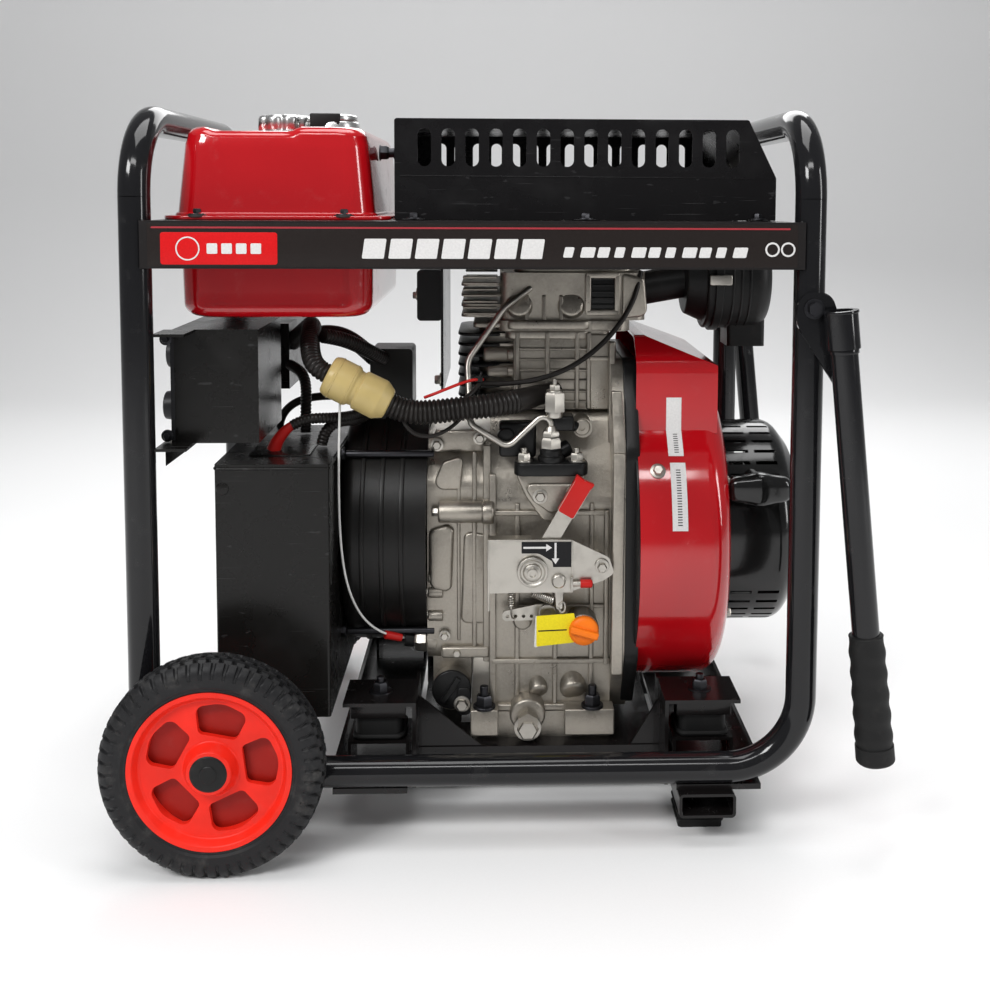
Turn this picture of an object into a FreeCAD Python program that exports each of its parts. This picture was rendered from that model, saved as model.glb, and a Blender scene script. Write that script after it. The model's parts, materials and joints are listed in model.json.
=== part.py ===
import FreeCAD, Part
import math
import os

# An open-frame engine driven welder set: a tubular frame on two wheels and two feet, with a
# horizontal-shaft diesel engine, a short alternator, a fuel tank and a control box inside it.
# Millimetres.  +X is the recoil-starter end, -Y the service side, +Z up.  X is measured from the
# middle of the tube frame while the pieces are built, and moved by middle_x when they are written,
# so that the origin is the bottom centre of the whole object.

V = FreeCAD.Vector

# ---- driving dimensions -------------------------------------------------------------------
middle_x = 28.86           # middle of the whole object, from the middle of the frame

tube_r = 16.0              # frame tube
tube_wall = 2.0
post_x = 344.0             # centre of the four posts
loop_y = 230.0
rail_z = 82.0              # centre of the bottom rails
hoop_z = 764.0             # centre of the top cross tubes
rail_bend = 78.0
hoop_bend = 80.0
hoop_foot_z = hoop_z - hoop_bend

bar_half = 335.0           # name bars across the posts
bar_z0, bar_z1 = 612.5, 660.5
bar_depth = 14.0
shelf_y = 180.0

wheel_x, wheel_z = -264.0, 113.0
wheel_r, wheel_rim_r = 113.0, 82.0
wheel_y0, wheel_y1 = 252.0, 297.0
axle_r = 8.0
running_gap = 0.05

crank_z = 290.0            # crankshaft, flywheel and alternator share this axis
flange_x = 152.0           # flywheel end of the crankcase
blower_x0, blower_x1 = 178.0, 281.0
blower_r = 183.0
recoil_r = 121.0
alternator_x0, alternator_x1 = -154.0, -58.0
alternator_r = 140.0

mount_left_x, mount_right_x, mount_y = -107.0, 249.0, 155.0
plate_z = 66.0             # top of the floor plates, and of the engine base
rubber_z0, rubber_z1 = 93.0, 133.0
cap_z1 = 137.0

tank_x0, tank_x1 = -307.0, -108.0
tank_y0, tank_y1 = -197.0, 160.0
tank_z0, tank_seam, tank_z1 = 557.0, 664.0, 758.0
cap_x, cap_y = -221.0, -60.0

cover_x0, cover_x1, cover_y = -86.0, 317.0, 188.5
cover_z0, cover_z1 = 661.0, 767.0
slot_count, slot_first, slot_pitch = 14, -54.7, 25.0

handle_pivot = V(post_x, -250.0, 573.0)
handle_y = -264.0
handle_top = V(369.0, handle_y, 560.0)
handle_end = V(415.4, handle_y, 100.0)
grip_r = 20.0

lever_pivot = (61.0, 273.0)        # stop lever, x and z
speed_pivot = (79.0, 217.0)
dipstick_at = (119.0, 202.0)
pull_at = (317.0, 359.0)           # starter rope, x and z


# ---- helpers ------------------------------------------------------------------------------
def at(axis, u, v, w):
    """A point with w along the axis and (u, v) across it, in the order of the other two letters."""
    return {"x": V(w, u, v), "y": V(u, w, v), "z": V(u, v, w)}[axis]


def outline(points, axis, level):
    """A closed flat wire through (u, v, radius) corners, each rounded by its own radius."""
    places = [at(axis, u, v, level) for u, v, _ in points]
    count = len(points)
    corners = []
    for i, (_, _, radius) in enumerate(points):
        p = places[i]
        if radius == 0:
            corners.append((p, None, p))
            continue
        before = (places[i - 1] - p).normalize()
        after = (places[(i + 1) % count] - p).normalize()
        half = before.getAngle(after) / 2
        reach = radius / math.tan(half)
        centre = p + (before + after).normalize() * (radius / math.sin(half))
        middle = centre + (p - centre).normalize() * radius
        corners.append((p + before * reach, middle, p + after * reach))
    edges = []
    for i, (start, middle, end) in enumerate(corners):
        if middle is not None:
            edges.append(Part.Arc(start, middle, end).toShape())
        following = corners[(i + 1) % count][0]
        if (following - end).Length > 1e-4:
            edges.append(Part.LineSegment(end, following).toShape())
    return Part.Wire(edges)


def plate(points, axis, low, high):
    """A flat outline given a thickness along an axis."""
    return Part.Face(outline(points, axis, low)).extrude(at(axis, 0, 0, high - low))


def rounded(u0, u1, v0, v1, radius):
    return [(u0, v0, radius), (u1, v0, radius), (u1, v1, radius), (u0, v1, radius)]


def box(x0, x1, y0, y1, z0, z1):
    return Part.makeBox(x1 - x0, y1 - y0, z1 - z0, V(x0, y0, z0))


def rod(start, end, radius):
    return Part.makeCylinder(radius, (end - start).Length, start, end - start)


def turned(points, base, direction):
    """A closed (radius, height, corner radius) outline turned about a line through base."""
    wire = outline([(radius, height, corner) for radius, height, corner in points], "y", 0)
    solid = Part.Face(wire).revolve(V(0, 0, 0), V(0, 0, 1), 360)
    solid.Placement = FreeCAD.Placement(base, FreeCAD.Rotation(V(0, 0, 1), direction))
    return solid


def path(points, bends):
    """Straight runs joined by tangent arcs.  bends is one radius, or one for each inner point."""
    if not isinstance(bends, (list, tuple)):
        bends = [bends] * (len(points) - 2)
    edges = []
    start = points[0]
    for i, radius in enumerate(bends, 1):
        p = points[i]
        back = (points[i - 1] - p).normalize()
        ahead = (points[i + 1] - p).normalize()
        half = back.getAngle(ahead) / 2
        reach = radius / math.tan(half)
        centre = p + (back + ahead).normalize() * (radius / math.sin(half))
        middle = centre + (p - centre).normalize() * radius
        enter, leave = p + back * reach, p + ahead * reach
        if (enter - start).Length > 1e-4:
            edges.append(Part.LineSegment(start, enter).toShape())
        edges.append(Part.Arc(enter, middle, leave).toShape())
        start = leave
    if (points[-1] - start).Length > 1e-4:
        edges.append(Part.LineSegment(start, points[-1]).toShape())
    return Part.Wire(edges)


def pipe(points, bends, radius, wall=0.0):
    """A round bar or tube along a path of runs and arcs."""
    line = path(points, bends)
    ahead = points[1] - points[0]

    def swept(r):
        ring = Part.Wire(Part.makeCircle(r, points[0], ahead))
        return line.makePipe(Part.Face(ring))
    return swept(radius).cut(swept(radius - wall)) if wall else swept(radius)


def wire_bends(points):
    """For each inner point of a wire's route, the largest arc that its two runs allow."""
    bends = []
    for a, b, c in zip(points, points[1:], points[2:]):
        turn = math.pi - (a - b).getAngle(c - b)
        bends.append(0.45 * min((a - b).Length, (c - b).Length) / math.tan(turn / 2))
    return bends


def joined(first, *others):
    return first.multiFuse(list(others)).removeSplitter()


def without(shape, *tools):
    return shape.cut(Part.makeCompound(list(tools)))


def trimmed(shape, *tools):
    """What is left of a hose or wire between the pieces that it runs into."""
    return max(without(shape, *tools).Solids, key=lambda solid: solid.Volume)


def rear(shape):
    """The same piece on the far side."""
    return shape.mirror(V(0, 0, 0), V(0, 1, 0))


def hexagon(x, z, across, y0, y1):
    """A hexagon head whose axis runs along Y."""
    r = across / math.sqrt(3)
    corners = [(x + r * math.cos(math.radians(60 * k + 30)), z + r * math.sin(math.radians(60 * k + 30)), 0)
               for k in range(6)]
    return plate(corners, "y", y0, y1)


nodes = {}


# ---- tube frame ---------------------------------------------------------------------------
def frame():
    bottom = [V(-post_x, -loop_y, hoop_foot_z), V(-post_x, -loop_y, rail_z),
              V(post_x, -loop_y, rail_z), V(post_x, -loop_y, hoop_foot_z)]
    nodes["frame_loop_front"] = pipe(bottom, rail_bend, tube_r, tube_wall)
    nodes["frame_loop_rear"] = rear(nodes["frame_loop_front"])
    for side, name in ((-1, "left"), (1, "right")):
        x = side * post_x
        top = [V(x, -loop_y, hoop_foot_z), V(x, -loop_y, hoop_z), V(x, loop_y, hoop_z), V(x, loop_y, hoop_foot_z)]
        nodes["frame_hoop_" + name] = pipe(top, hoop_bend, tube_r, tube_wall)

    posts = Part.makeCompound([Part.makeCylinder(tube_r, hoop_foot_z - 200, V(s * post_x, -loop_y, 200))
                               for s in (-1, 1)])
    front = -loop_y - tube_r - 1.0
    bar = box(-bar_half, bar_half, front, front + bar_depth, bar_z0, bar_z1)
    hollow = box(-bar_half, bar_half, front + 2, front + bar_depth, bar_z0 + 2, bar_z1 - 2)
    inside = post_x - tube_r - 1
    shelf = box(-inside, inside, front + 2, -shelf_y, bar_z1 - 2, bar_z1)
    tank_hole = plate(rounded(tank_x0 - 4, tank_x1 + 4, tank_y0 - 5, -100, 24), "z", 600, 700)
    nodes["name_bar_front"] = without(joined(bar.cut(hollow), shelf), posts, tank_hole)
    nodes["name_bar_rear"] = rear(nodes["name_bar_front"])


def floor_plates():
    """Cross plates under the rails, with the pedestals of the engine mounts and the feet's brackets."""
    reach = loop_y + 6
    for name, x0, x1, mount_x in (("left", -150.0, -72.0, mount_left_x), ("right", 212.0, 302.0, mount_right_x)):
        lip = x0 if name == "left" else x1 - 4
        pieces = [box(x0, x1, -reach, reach, plate_z - 6, plate_z),
                  box(lip, lip + 4, -loop_y + 18, loop_y - 18, plate_z, plate_z + 24)]
        for side in (-1, 1):
            y = side * mount_y
            block = box(mount_x - 33, mount_x + 33, y - 29, y + 29, plate_z, rubber_z0)
            pieces.append(block.cut(box(mount_x - 30, mount_x + 30, y - 29, y + 29, plate_z, rubber_z0 - 3)))
            if name == "right":
                y0, y1 = sorted((side * 246.0, side * 150.0))
                sleeve = plate(rounded(214, 274, 34, plate_z - 6, 5), "y", y0, y1)
                pieces.append(sleeve.cut(plate(rounded(217, 271, 37, plate_z - 9, 2), "y", y0, y1)))
        nodes["cross_member_" + name] = joined(*pieces)
    foot = plate(rounded(220, 268, -201, -153, 4), "z", 0, 34)
    nodes["rubber_foot_front"] = foot
    nodes["rubber_foot_rear"] = rear(foot)


def engine_mounts():
    for name, y in (("front", -mount_y), ("rear", mount_y)):
        pads = [plate(rounded(x - 26, x + 26, y - 26, y + 26, 9), "z", rubber_z0, rubber_z1)
                for x in (mount_left_x, mount_right_x)]
        nodes["rubber_mounts_" + name] = Part.makeCompound(pads)

    tray = box(-66, 206, -142, 142, plate_z - 4, plate_z).cut(box(-20, 150, -78, 78, 0, 100))
    pieces = [tray]
    for side in (-1, 1):
        y0, y1 = sorted((side * 138.0, side * 142.0))
        pieces.append(box(-66, 206, y0, y1, plate_z - 24, plate_z - 4))
        outer, inner = sorted((side * 188.0, side * 122.0))
        wall0, wall1 = sorted((side * 188.0, side * 100.0))
        pieces.append(box(-70, -66, wall0, wall1, plate_z - 24, cap_z1))
        pieces.append(box(206, 210, wall0, wall1, plate_z - 24, rubber_z1))
        pieces.append(box(-145, -70, outer, inner, rubber_z1, cap_z1))
        pieces.append(box(206, 289, outer, inner, rubber_z1, cap_z1))
        web0, web1 = sorted((side * 136.0, side * 140.0))
        pieces.append(plate([(-66, plate_z, 0), (5, plate_z, 0), (-66, 125, 0)], "y", web0, web1))
        pieces.append(plate([(206, plate_z, 0), (206, 120, 0), (174, plate_z, 0)], "y", web0, web1))
    nodes["engine_base"] = joined(*pieces)


# ---- wheels -------------------------------------------------------------------------------
def wheels():
    bar = box(wheel_x - 15, wheel_x + 15, -240, 240, rail_z + tube_r, rail_z + tube_r + 30)
    bar = bar.cut(box(wheel_x - 12.5, wheel_x + 12.5, -240, 240, rail_z + tube_r + 2.5, rail_z + tube_r + 27.5))
    plugs = [box(wheel_x - 15, wheel_x + 15, min(s * 236, s * 240), max(s * 236, s * 240),
                 rail_z + tube_r, rail_z + tube_r + 30) for s in (-1, 1)]
    stubs = [rod(V(wheel_x, s * 236, wheel_z), V(wheel_x, s * 295.5, wheel_z), axle_r) for s in (-1, 1)]
    rail_skin = [pipe([V(-post_x, s * loop_y, 300), V(-post_x, s * loop_y, rail_z), V(0, s * loop_y, rail_z)],
                      rail_bend, tube_r) for s in (-1, 1)]
    nodes["axle"] = without(joined(bar, *plugs, *stubs), *rail_skin)

    inner, outer = wheel_y0, wheel_y1
    middle = (inner + outer) / 2
    tyre = turned([(wheel_rim_r + 0.0, inner + 3 - middle, 0), (wheel_r, inner - middle, 14),
                   (wheel_r, outer - middle, 14), (wheel_rim_r, outer - 3 - middle, 0)],
                  V(wheel_x, -middle, wheel_z), V(0, -1, 0))
    nodes["wheel_tyre_front"] = tyre
    nodes["wheel_tyre_rear"] = rear(tyre)

    bore = axle_r + running_gap
    rim = turned([(bore, -22, 0), (22, -22, 2), (24, 3, 3), (66, 3, 2), (74, -18, 2), (wheel_rim_r, -19, 0),
                  (wheel_rim_r, 19, 0), (77, 19, 2), (72, 10, 3), (28, 9, 3), (22, 22, 2), (bore, 22, 0)],
                 V(wheel_x, -middle, wheel_z), V(0, -1, 0))
    pockets = []
    for k in range(5):
        angle = math.radians(79 + 72 * k)
        spoke = plate([(-19, 33, 6), (19, 33, 6), (27, 60, 9), (0, 69, 30), (-27, 60, 9)], "y", -300, -240)
        spoke.rotate(V(0, 0, 0), V(0, 1, 0), 90 - math.degrees(angle))
        spoke.translate(V(wheel_x, 0, wheel_z))
        pockets.append(spoke)
    nodes["wheel_rim_front"] = without(rim, *pockets)
    nodes["wheel_rim_rear"] = rear(nodes["wheel_rim_front"])


# ---- folding handles ----------------------------------------------------------------------
def handles():
    along = (handle_end - handle_top).normalize()
    grip_top = handle_end - along * 138
    x, z = handle_pivot.x, handle_pivot.z
    cheek_y0, cheek_y1 = -251.2, -246.6
    cheek = plate([(x - 17, z + 17, 16.5), (x + 17, z + 17, 16.5), (x + 27, z - 10, 0), (x + 31, z - 78, 3),
                   (x + 22, z - 78, 3), (x - 17, z - 17, 14)], "y", cheek_y0, cheek_y1)
    cheek = cheek.cut(rod(V(x, -260, z), V(x, -240, z), 6 + 3 * running_gap))
    socket = rod(handle_top - along * 12, handle_top + along * 26, 17)
    tube = rod(handle_top + along * 10, handle_end - along * 4, 14)
    bore = rod(handle_top - along * 14, handle_end - along * 4, 12)
    arm = joined(cheek, socket, tube).cut(bore)
    side = FreeCAD.Rotation(V(0, 0, 1), along)
    grip = turned([(14, 0, 0), (18.5, 0, 3), (grip_r, 136, 5), (0, 142, 0), (0, 136, 0), (14, 136, 0)],
                  V(0, 0, 0), V(0, 0, 1))
    grip.Placement = FreeCAD.Placement(grip_top, side)
    arm = arm.cut(rod(grip_top + along * 134, grip_top + along * 200, 40))
    washer_y = cheek_y0 - 1.8
    pin = joined(rod(V(x, washer_y - 4, z), V(x, -246, z), 6), hexagon(x, z, 13, washer_y - 6.5, washer_y),
                 rod(V(x, washer_y, z), V(x, cheek_y0 - 0.3, z), 10.5))
    nodes["handle_arm_front"] = arm
    nodes["handle_grip_front"] = grip
    nodes["handle_bolt_front"] = pin
    for name in ("handle_arm", "handle_grip", "handle_bolt"):
        nodes[name + "_rear"] = rear(nodes[name + "_front"])


# ---- fuel tank and slotted cover ----------------------------------------------------------
def tank():
    def ring(inset, z, radius=28.0):
        return outline(rounded(tank_x0 + inset, tank_x1 - inset, tank_y0 + inset, tank_y1 - inset, radius), "z", z)
    upper = Part.makeLoft([ring(0, tank_seam), ring(8, tank_z1 - 16), ring(20, tank_z1 - 3)], True, True)
    lower = Part.makeLoft([ring(20, tank_z0), ring(6, tank_z0 + 16), ring(2, tank_seam)], True, True)
    upper_space = Part.makeLoft([ring(5, tank_seam), ring(11, tank_z1 - 18), ring(22, tank_z1 - 6)], True, True)
    lower_space = Part.makeLoft([ring(23, tank_z0 + 3), ring(9, tank_z0 + 18), ring(5, tank_seam)], True, True)
    flange = plate(rounded(-327, -89, -205, 170, 26), "z", cover_z0, tank_seam)
    neck = Part.makeCylinder(22, 18, V(cap_x, cap_y, tank_z1 - 6))
    gauge = Part.makeCylinder(26, 18, V(-163, -70, tank_z1 - 4))
    shell = without(joined(upper, lower, flange, neck, gauge), upper_space, lower_space)
    nodes["fuel_tank"] = shell.cut(Part.makeCylinder(18, 40, V(cap_x, cap_y, tank_z1 - 20)))

    cap = turned([(0, 7, 0), (22.6, 7, 0), (22.6, -5, 0), (31, -5, 2), (31, 12, 3), (0, 14, 0)],
                 V(cap_x, cap_y, tank_z1 + 6), V(0, 0, 1))
    plug = Part.makeCylinder(16, 14, V(cap_x, cap_y, tank_z1 - 1))
    notches = [Part.makeCylinder(7, 30, V(cap_x + 35.5 * math.cos(math.radians(45 * k)),
                                          cap_y + 35.5 * math.sin(math.radians(45 * k)), tank_z1 - 4))
               for k in range(8)]
    nodes["fuel_cap"] = without(joined(cap, plug), *notches)


def slotted_cover():
    section = [(cover_x0, cover_z0, 0), (cover_x0, cover_z1, 3), (287, cover_z1, 3),
               (cover_x1, 706, 3), (cover_x1, cover_z0, 0)]
    wall = 1.6
    inner = [(cover_x0 + wall, cover_z0 - 1, 0), (cover_x0 + wall, cover_z1 - wall, 0), (286, cover_z1 - wall, 0),
             (cover_x1 - wall, 705, 0), (cover_x1 - wall, cover_z0 - 1, 0)]
    shell = plate(section, "y", -cover_y, cover_y).cut(plate(inner, "y", -cover_y + wall, cover_y - wall))
    slots = [plate(rounded(x - 7, x + 7, 717, 756.6, 6.99), "y", -300, 300)
             for x in (slot_first + slot_pitch * n for n in range(slot_count))]
    nodes["slotted_cover"] = without(shell, *slots)

    drum = plate(rounded(-45, 110, 665, 717, 25.9), "x", 60, 262)
    drum = drum.cut(plate(rounded(-42, 107, 668, 714, 22.9), "x", 63, 259))
    inlet = rod(V(95, 60, 685), V(95, 60, 600), 19)
    tail = pipe([V(262, 60, 691), V(286, 60, 691), V(286, 150, 691)], 20, 14)
    nodes["muffler"] = joined(drum, inlet, tail)


# ---- engine -------------------------------------------------------------------------------
def engine():
    shaft = rod(V(-200, 0, crank_z), V(300, 0, crank_z), 26)
    body = plate([(-112, 90, 12), (-112, 340, 30), (-78, 440, 20), (78, 440, 20), (112, 340, 30), (112, 90, 12)],
                 "x", 14, flange_x)
    sump = plate(rounded(-8, 156, -118, 118, 8), "z", plate_z, 96)
    bell = plate([(-92, 90, 12), (-146, 170, 30), (-146, 400, 40), (-90, 500, 20),
                  (90, 500, 20), (146, 400, 40), (146, 170, 30), (92, 90, 12)], "x", flange_x, 172)
    neck = rod(V(dipstick_at[0], -100, dipstick_at[1]), V(dipstick_at[0], -146, dipstick_at[1]), 15)
    neck_bore = rod(V(dipstick_at[0], -80, dipstick_at[1]), V(dipstick_at[0], -147, dipstick_at[1]), 9)
    drain = joined(rod(V(57, -100, 96), V(57, -130, 94), 17), hexagon(57, 91, 22, -142, -130),
                   rod(V(57, -131, 91), V(57, -129, 91), 15))
    speed_post = rod(V(speed_pivot[0], -112, speed_pivot[1]), V(speed_pivot[0], -134, speed_pivot[1]), 5)
    boss = rod(V(119, -70, 424), V(119, -112, 424), 11)
    gallery = plate([(-98, 108, 8), (-98, 338, 22), (-68, 426, 14), (68, 426, 14), (98, 338, 22), (98, 108, 8)],
                    "x", 26, flange_x - 10)
    cylinder_bore = Part.makeCylinder(43, 120, V(100, 0, 411))
    case = joined(body, sump, bell, neck, drain, speed_post, boss)
    nodes["crankcase"] = without(case, shaft, neck_bore, gallery, cylinder_bore)

    cover = plate([(-105, 150, 22), (-105, 360, 26), (-70, 410, 20), (70, 410, 20), (105, 360, 26), (105, 150, 22)],
                  "x", alternator_x1, 14)
    filter_cap = rod(V(-30, -90, 118), V(-30, -112, 118), 22)
    filter_well = box(-52, -8, -90, 90, 100, 152)
    sensor = rod(V(-58, -92, 172), V(-72, -92, 172), 9)
    gears = plate([(-92, 163, 14), (-92, 356, 18), (-64, 397, 12), (64, 397, 12), (92, 356, 18), (92, 163, 14)],
                  "x", alternator_x1 + 10, 15)
    nodes["gear_cover"] = without(joined(cover, filter_well, filter_cap, sensor), shaft, gears)

    block = plate(rounded(58, 152, -80, 80, 10), "z", 440, 531)
    fins = [plate(rounded(-20, 60, -68, 68, 24), "z", z, z + 3) for z in range(452, 526, 12)]
    barrel = plate(rounded(0, 70, -50, 50, 20), "z", 440, 531)
    nodes["cylinder_block"] = joined(block, barrel, *fins).cut(cylinder_bore)

    head = plate(rounded(25, 194, -75, 75, 14), "z", 543, 598)
    head_plate = plate(rounded(20, 176, -82, 82, 18), "z", 531, 543)
    head_fins = [plate(rounded(-20, 30, -68, 68, 12), "z", z, z + 3) for z in range(546, 594, 12)]
    nodes["cylinder_head"] = joined(head, head_plate, *head_fins)
    crown = Part.makeLoft([outline(rounded(45, 180, -65, 65, 18), "z", 598),
                           outline(rounded(45, 180, -65, 65, 18), "z", 632),
                           outline(rounded(57, 168, -53, 53, 12), "z", 648)], True, True)
    nodes["rocker_cover"] = crown.cut(rod(V(95, 60, 700), V(95, 60, 560), 19.5))

    pump = joined(plate(rounded(52, 112, -149, -112, 12), "z", 376, 392),
                  Part.makeCylinder(15, 34, V(82, -131, 392)),
                  Part.makeCylinder(17, 44, V(82, -131, 332)),
                  box(60, 104, -131, -112, 340, 376))
    nodes["injection_pump"] = without(pump, nodes["crankcase"])

    route = [V(82, -131, 426), V(82, -131, 452), V(34, -131, 406), V(-8, -129, 432), V(-12, -104, 500),
             V(30, -96, 560), V(60, -75, 580)]
    nodes["injector_line"] = pipe(route, [9, 12, 12, 26, 24], 3.5).cut(nodes["cylinder_head"])


def engine_controls():
    x, z = lever_pivot
    face_y, case_y = -158, -112
    face = plate([(12, 248, 0), (12, 308, 0), (104, 308, 0), (146, 288, 8), (152, 270, 6), (140, 262, 4),
                  (104, 250, 0)], "y", face_y, face_y + 2)
    top = box(12, 60, face_y + 2, face_y + 19, 306, 308)
    left = box(12, 14, face_y + 2, face_y + 22, 228, 308)
    low = box(14, 104, face_y + 2, face_y + 9, 248, 250)
    stand = [rod(V(22, face_y + 2, 296), V(22, case_y, 296), 6),
             rod(V(137, face_y, 277), V(137, case_y, 277), 6)]
    pin = joined(rod(V(x, face_y - 6, z), V(x, case_y, z), 5), hexagon(x, z, 13, face_y - 10, face_y - 3),
                 rod(V(x, face_y - 3, z), V(x, face_y, z), 15))
    clamp = joined(rod(V(90, face_y - 3, 262), V(90, face_y, 262), 8),
                   hexagon(90, 262, 11, face_y - 6, face_y - 3))
    nodes["control_plate"] = joined(face, top, left, low, *stand, pin, clamp)

    angle = math.radians(60)
    u, w = V(math.cos(angle), 0, math.sin(angle)), V(-math.sin(angle), 0, math.cos(angle))
    base = V(x, 0, z)

    def bar(start, end, half, y0, y1):
        corners = [base + u * start - w * half, base + u * end - w * half,
                   base + u * end + w * half, base + u * start + w * half]
        return plate([(c.x, c.z, 3.0) for c in corners], "y", y0, y1)
    lever = joined(bar(-9, 100, 9, -154.4, -151.6), bar(72, 116, 10, -157.4, -149.6))
    nodes["stop_lever"] = lever.cut(rod(V(x, -170, z), V(x, -100, z), 5 + running_gap))

    px, pz = speed_pivot
    arm = plate([(px + 10, pz + 9, 9), (px - 12, pz + 9, 4), (28, pz + 1, 5), (28, pz - 10, 5), (px - 10, pz - 9, 3),
                 (px + 10, pz - 9, 9)], "y", -131, -128)
    holes = [rod(V(34 + 9 * k, -140, pz - 4.5), V(34 + 9 * k, -120, pz - 4.5), 2) for k in range(4)]
    nodes["speed_lever"] = without(arm, rod(V(px, -140, pz), V(px, -120, pz), 5 + running_gap), *holes)

    dx, dz = dipstick_at
    cap = turned([(0, 0, 0), (17, 0, 1), (17, 7, 3), (0, 8, 0)], V(dx, -146.4, dz), V(0, -1, 0))
    bar_grip = plate(rounded(dx - 16, dx + 16, dz - 4, dz + 4, 3.9), "y", -161, -153)
    stick = rod(V(dx, -147, dz), V(dx, -92, dz), 4)
    nodes["dipstick"] = joined(cap, bar_grip, stick)


def flywheel_end():
    drum = turned([(blower_r, blower_x0, 0), (blower_r, blower_x1, 26), (104, blower_x1, 0),
                   (104, blower_x1 - 2.5, 0), (blower_r - 2.5, blower_x1 - 2.5, 23.5), (blower_r - 2.5, blower_x0, 0)],
                  V(0, 0, crank_z), V(1, 0, 0))
    low = crank_z + 90

    def hood(grow, x0, x1):
        half = 125 - grow
        peak = 528 - grow
        return plate([(-half, low, 0), (-half, peak - 26, 30), (-half + 30, peak, 14),
                      (half - 30, peak, 14), (half, peak - 26, 30), (half, low, 0)], "x", x0, x1)
    def slope(drop):
        return plate([(blower_x0, 540, 0), (blower_x0 + 12, 528 - drop, 0), (blower_x1 - 11, 497 - drop, 0),
                      (blower_x1 + 9, 440 - drop, 0), (blower_x1 + 9, 540, 0)], "y", -200, 200)
    core = Part.makeCylinder(blower_r - 2.5, blower_x1 - 2.5 - blower_x0, V(blower_x0, 0, crank_z), V(1, 0, 0))
    outer = hood(0, blower_x0, blower_x1 - 11).cut(slope(0))
    inner = hood(2.5, blower_x0 - 1, blower_x1 - 13.5).cut(slope(2.5))
    drum = drum.cut(inner)
    nodes["blower_housing"] = joined(outer.cut(inner).cut(core), drum)

    start = blower_x1 + 0.5
    shell = turned([(recoil_r, start, 0), (recoil_r, 356, 22), (96, 375, 12), (0, 375, 0), (0, 372, 0),
                    (95, 372, 11), (recoil_r - 3, 355, 20), (recoil_r - 3, start, 0)],
                   V(0, 0, crank_z), V(1, 0, 0))
    slots = []
    for row in (292.0, 324.0):
        for k in range(16):
            for upward in (-1, 1):
                slot = box(row, row + 25, -2.4, 2.4, recoil_r - 20, recoil_r + 10)
                slot.rotate(V(0, 0, 0), V(1, 0, 0), 90 * (1 - upward) + upward * (k - 7.5) * 8)
                slot.translate(V(0, 0, crank_z))
                slots.append(slot)
    x, z = pull_at
    boss = rod(V(x, -84, z), V(x, -118, z), 12)
    mouth = rod(V(x, -40, z), V(x, -130, z), 4)
    inside = Part.makeCylinder(recoil_r - 3, 60, V(start, 0, crank_z), V(1, 0, 0))
    nodes["recoil_housing"] = without(joined(without(shell, *slots), boss.cut(inside)), mouth)

    grip = plate([(x - 36, z - 10, 8), (x + 36, z - 14, 10), (x + 36, z + 14, 10), (x - 36, z + 10, 8)], "y", -148, -124)
    stem = turned([(0, 0, 0), (11, 0, 0), (8, 6, 0), (0, 6, 0)], V(x, -124, z), V(0, 1, 0))
    rope = rod(V(x, -119, z), V(x, -54, z), 2.5)
    nodes["recoil_handle"] = joined(grip, stem, rope)
    pulley_r, groove_r = 72.0, 64.0
    nodes["recoil_pulley"] = turned([(8, x - 8, 0), (pulley_r, x - 8, 1), (pulley_r, x - 6, 0), (groove_r, x - 4, 0),
                                     (groove_r, x + 4, 0), (pulley_r, x + 6, 0), (pulley_r, x + 8, 1), (8, x + 8, 0)],
                                    V(0, 0, crank_z), V(1, 0, 0))

    nodes["flywheel"] = turned([(18.4, 190, 0), (60, 190, 3), (60, 200, 0), (162, 200, 3), (162, 240, 3), (150, 240, 0),
                                (150, 212, 0), (60, 212, 0), (50, 250, 3), (18.4, 250, 0)],
                               V(0, 0, crank_z), V(1, 0, 0))
    nodes["crankshaft"] = rod(V(-148, 0, crank_z), V(256, 0, crank_z), 18.4)


def alternator():
    ax0, ax1 = alternator_x0, alternator_x1
    shell = turned([(alternator_r, ax1, 0), (alternator_r, ax0, 14), (24, ax0, 0), (24, ax0 + 4, 0),
                    (alternator_r - 6, ax0 + 4, 8), (alternator_r - 6, ax1, 0)], V(0, 0, crank_z), V(1, 0, 0))
    drum = Part.makeCylinder(alternator_r, ax1 - ax0, V(ax0, 0, crank_z), V(1, 0, 0))
    terminals = plate(rounded(-128, -78, 415, 506, 5), "y", -45, 15).cut(drum)
    nodes["alternator_housing"] = joined(shell, terminals)
    nodes["alternator_rotor"] = turned([(18.4, ax0 + 12, 0), (126, ax0 + 12, 4), (126, ax1 - 10, 4), (112, ax1 - 10, 0),
                                        (112, ax0 + 22, 0), (18.4, ax0 + 22, 0)], V(0, 0, crank_z), V(1, 0, 0))


def air_filter():
    centre = V(0, -10, 590)
    body = turned([(0, 246, 0), (44, 246, 4), (54, 268, 2), (62, 268, 3), (62, 345, 18), (0, 346, 0)],
                  centre, V(1, 0, 0))
    band = turned([(50, 276, 0), (65, 276, 1), (65, 286, 1), (50, 286, 0)], centre, V(1, 0, 0))
    snorkel = plate(rounded(297, 342, -36, 14, 5), "z", 508, 570)
    duct = rod(V(194, -10, 575), V(250, -10, 585), 20)
    head = nodes["cylinder_head"]
    nodes["air_filter"] = joined(body, band, snorkel, duct).cut(head)


def heat_shield():
    sheet = plate(rounded(-60, 150, 456, 655, 8), "x", -44, -41)
    case = plate(rounded(-74, -44, 537, 598, 5), "y", -24, 60)
    nodes["heat_shield"] = joined(sheet, case)


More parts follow.
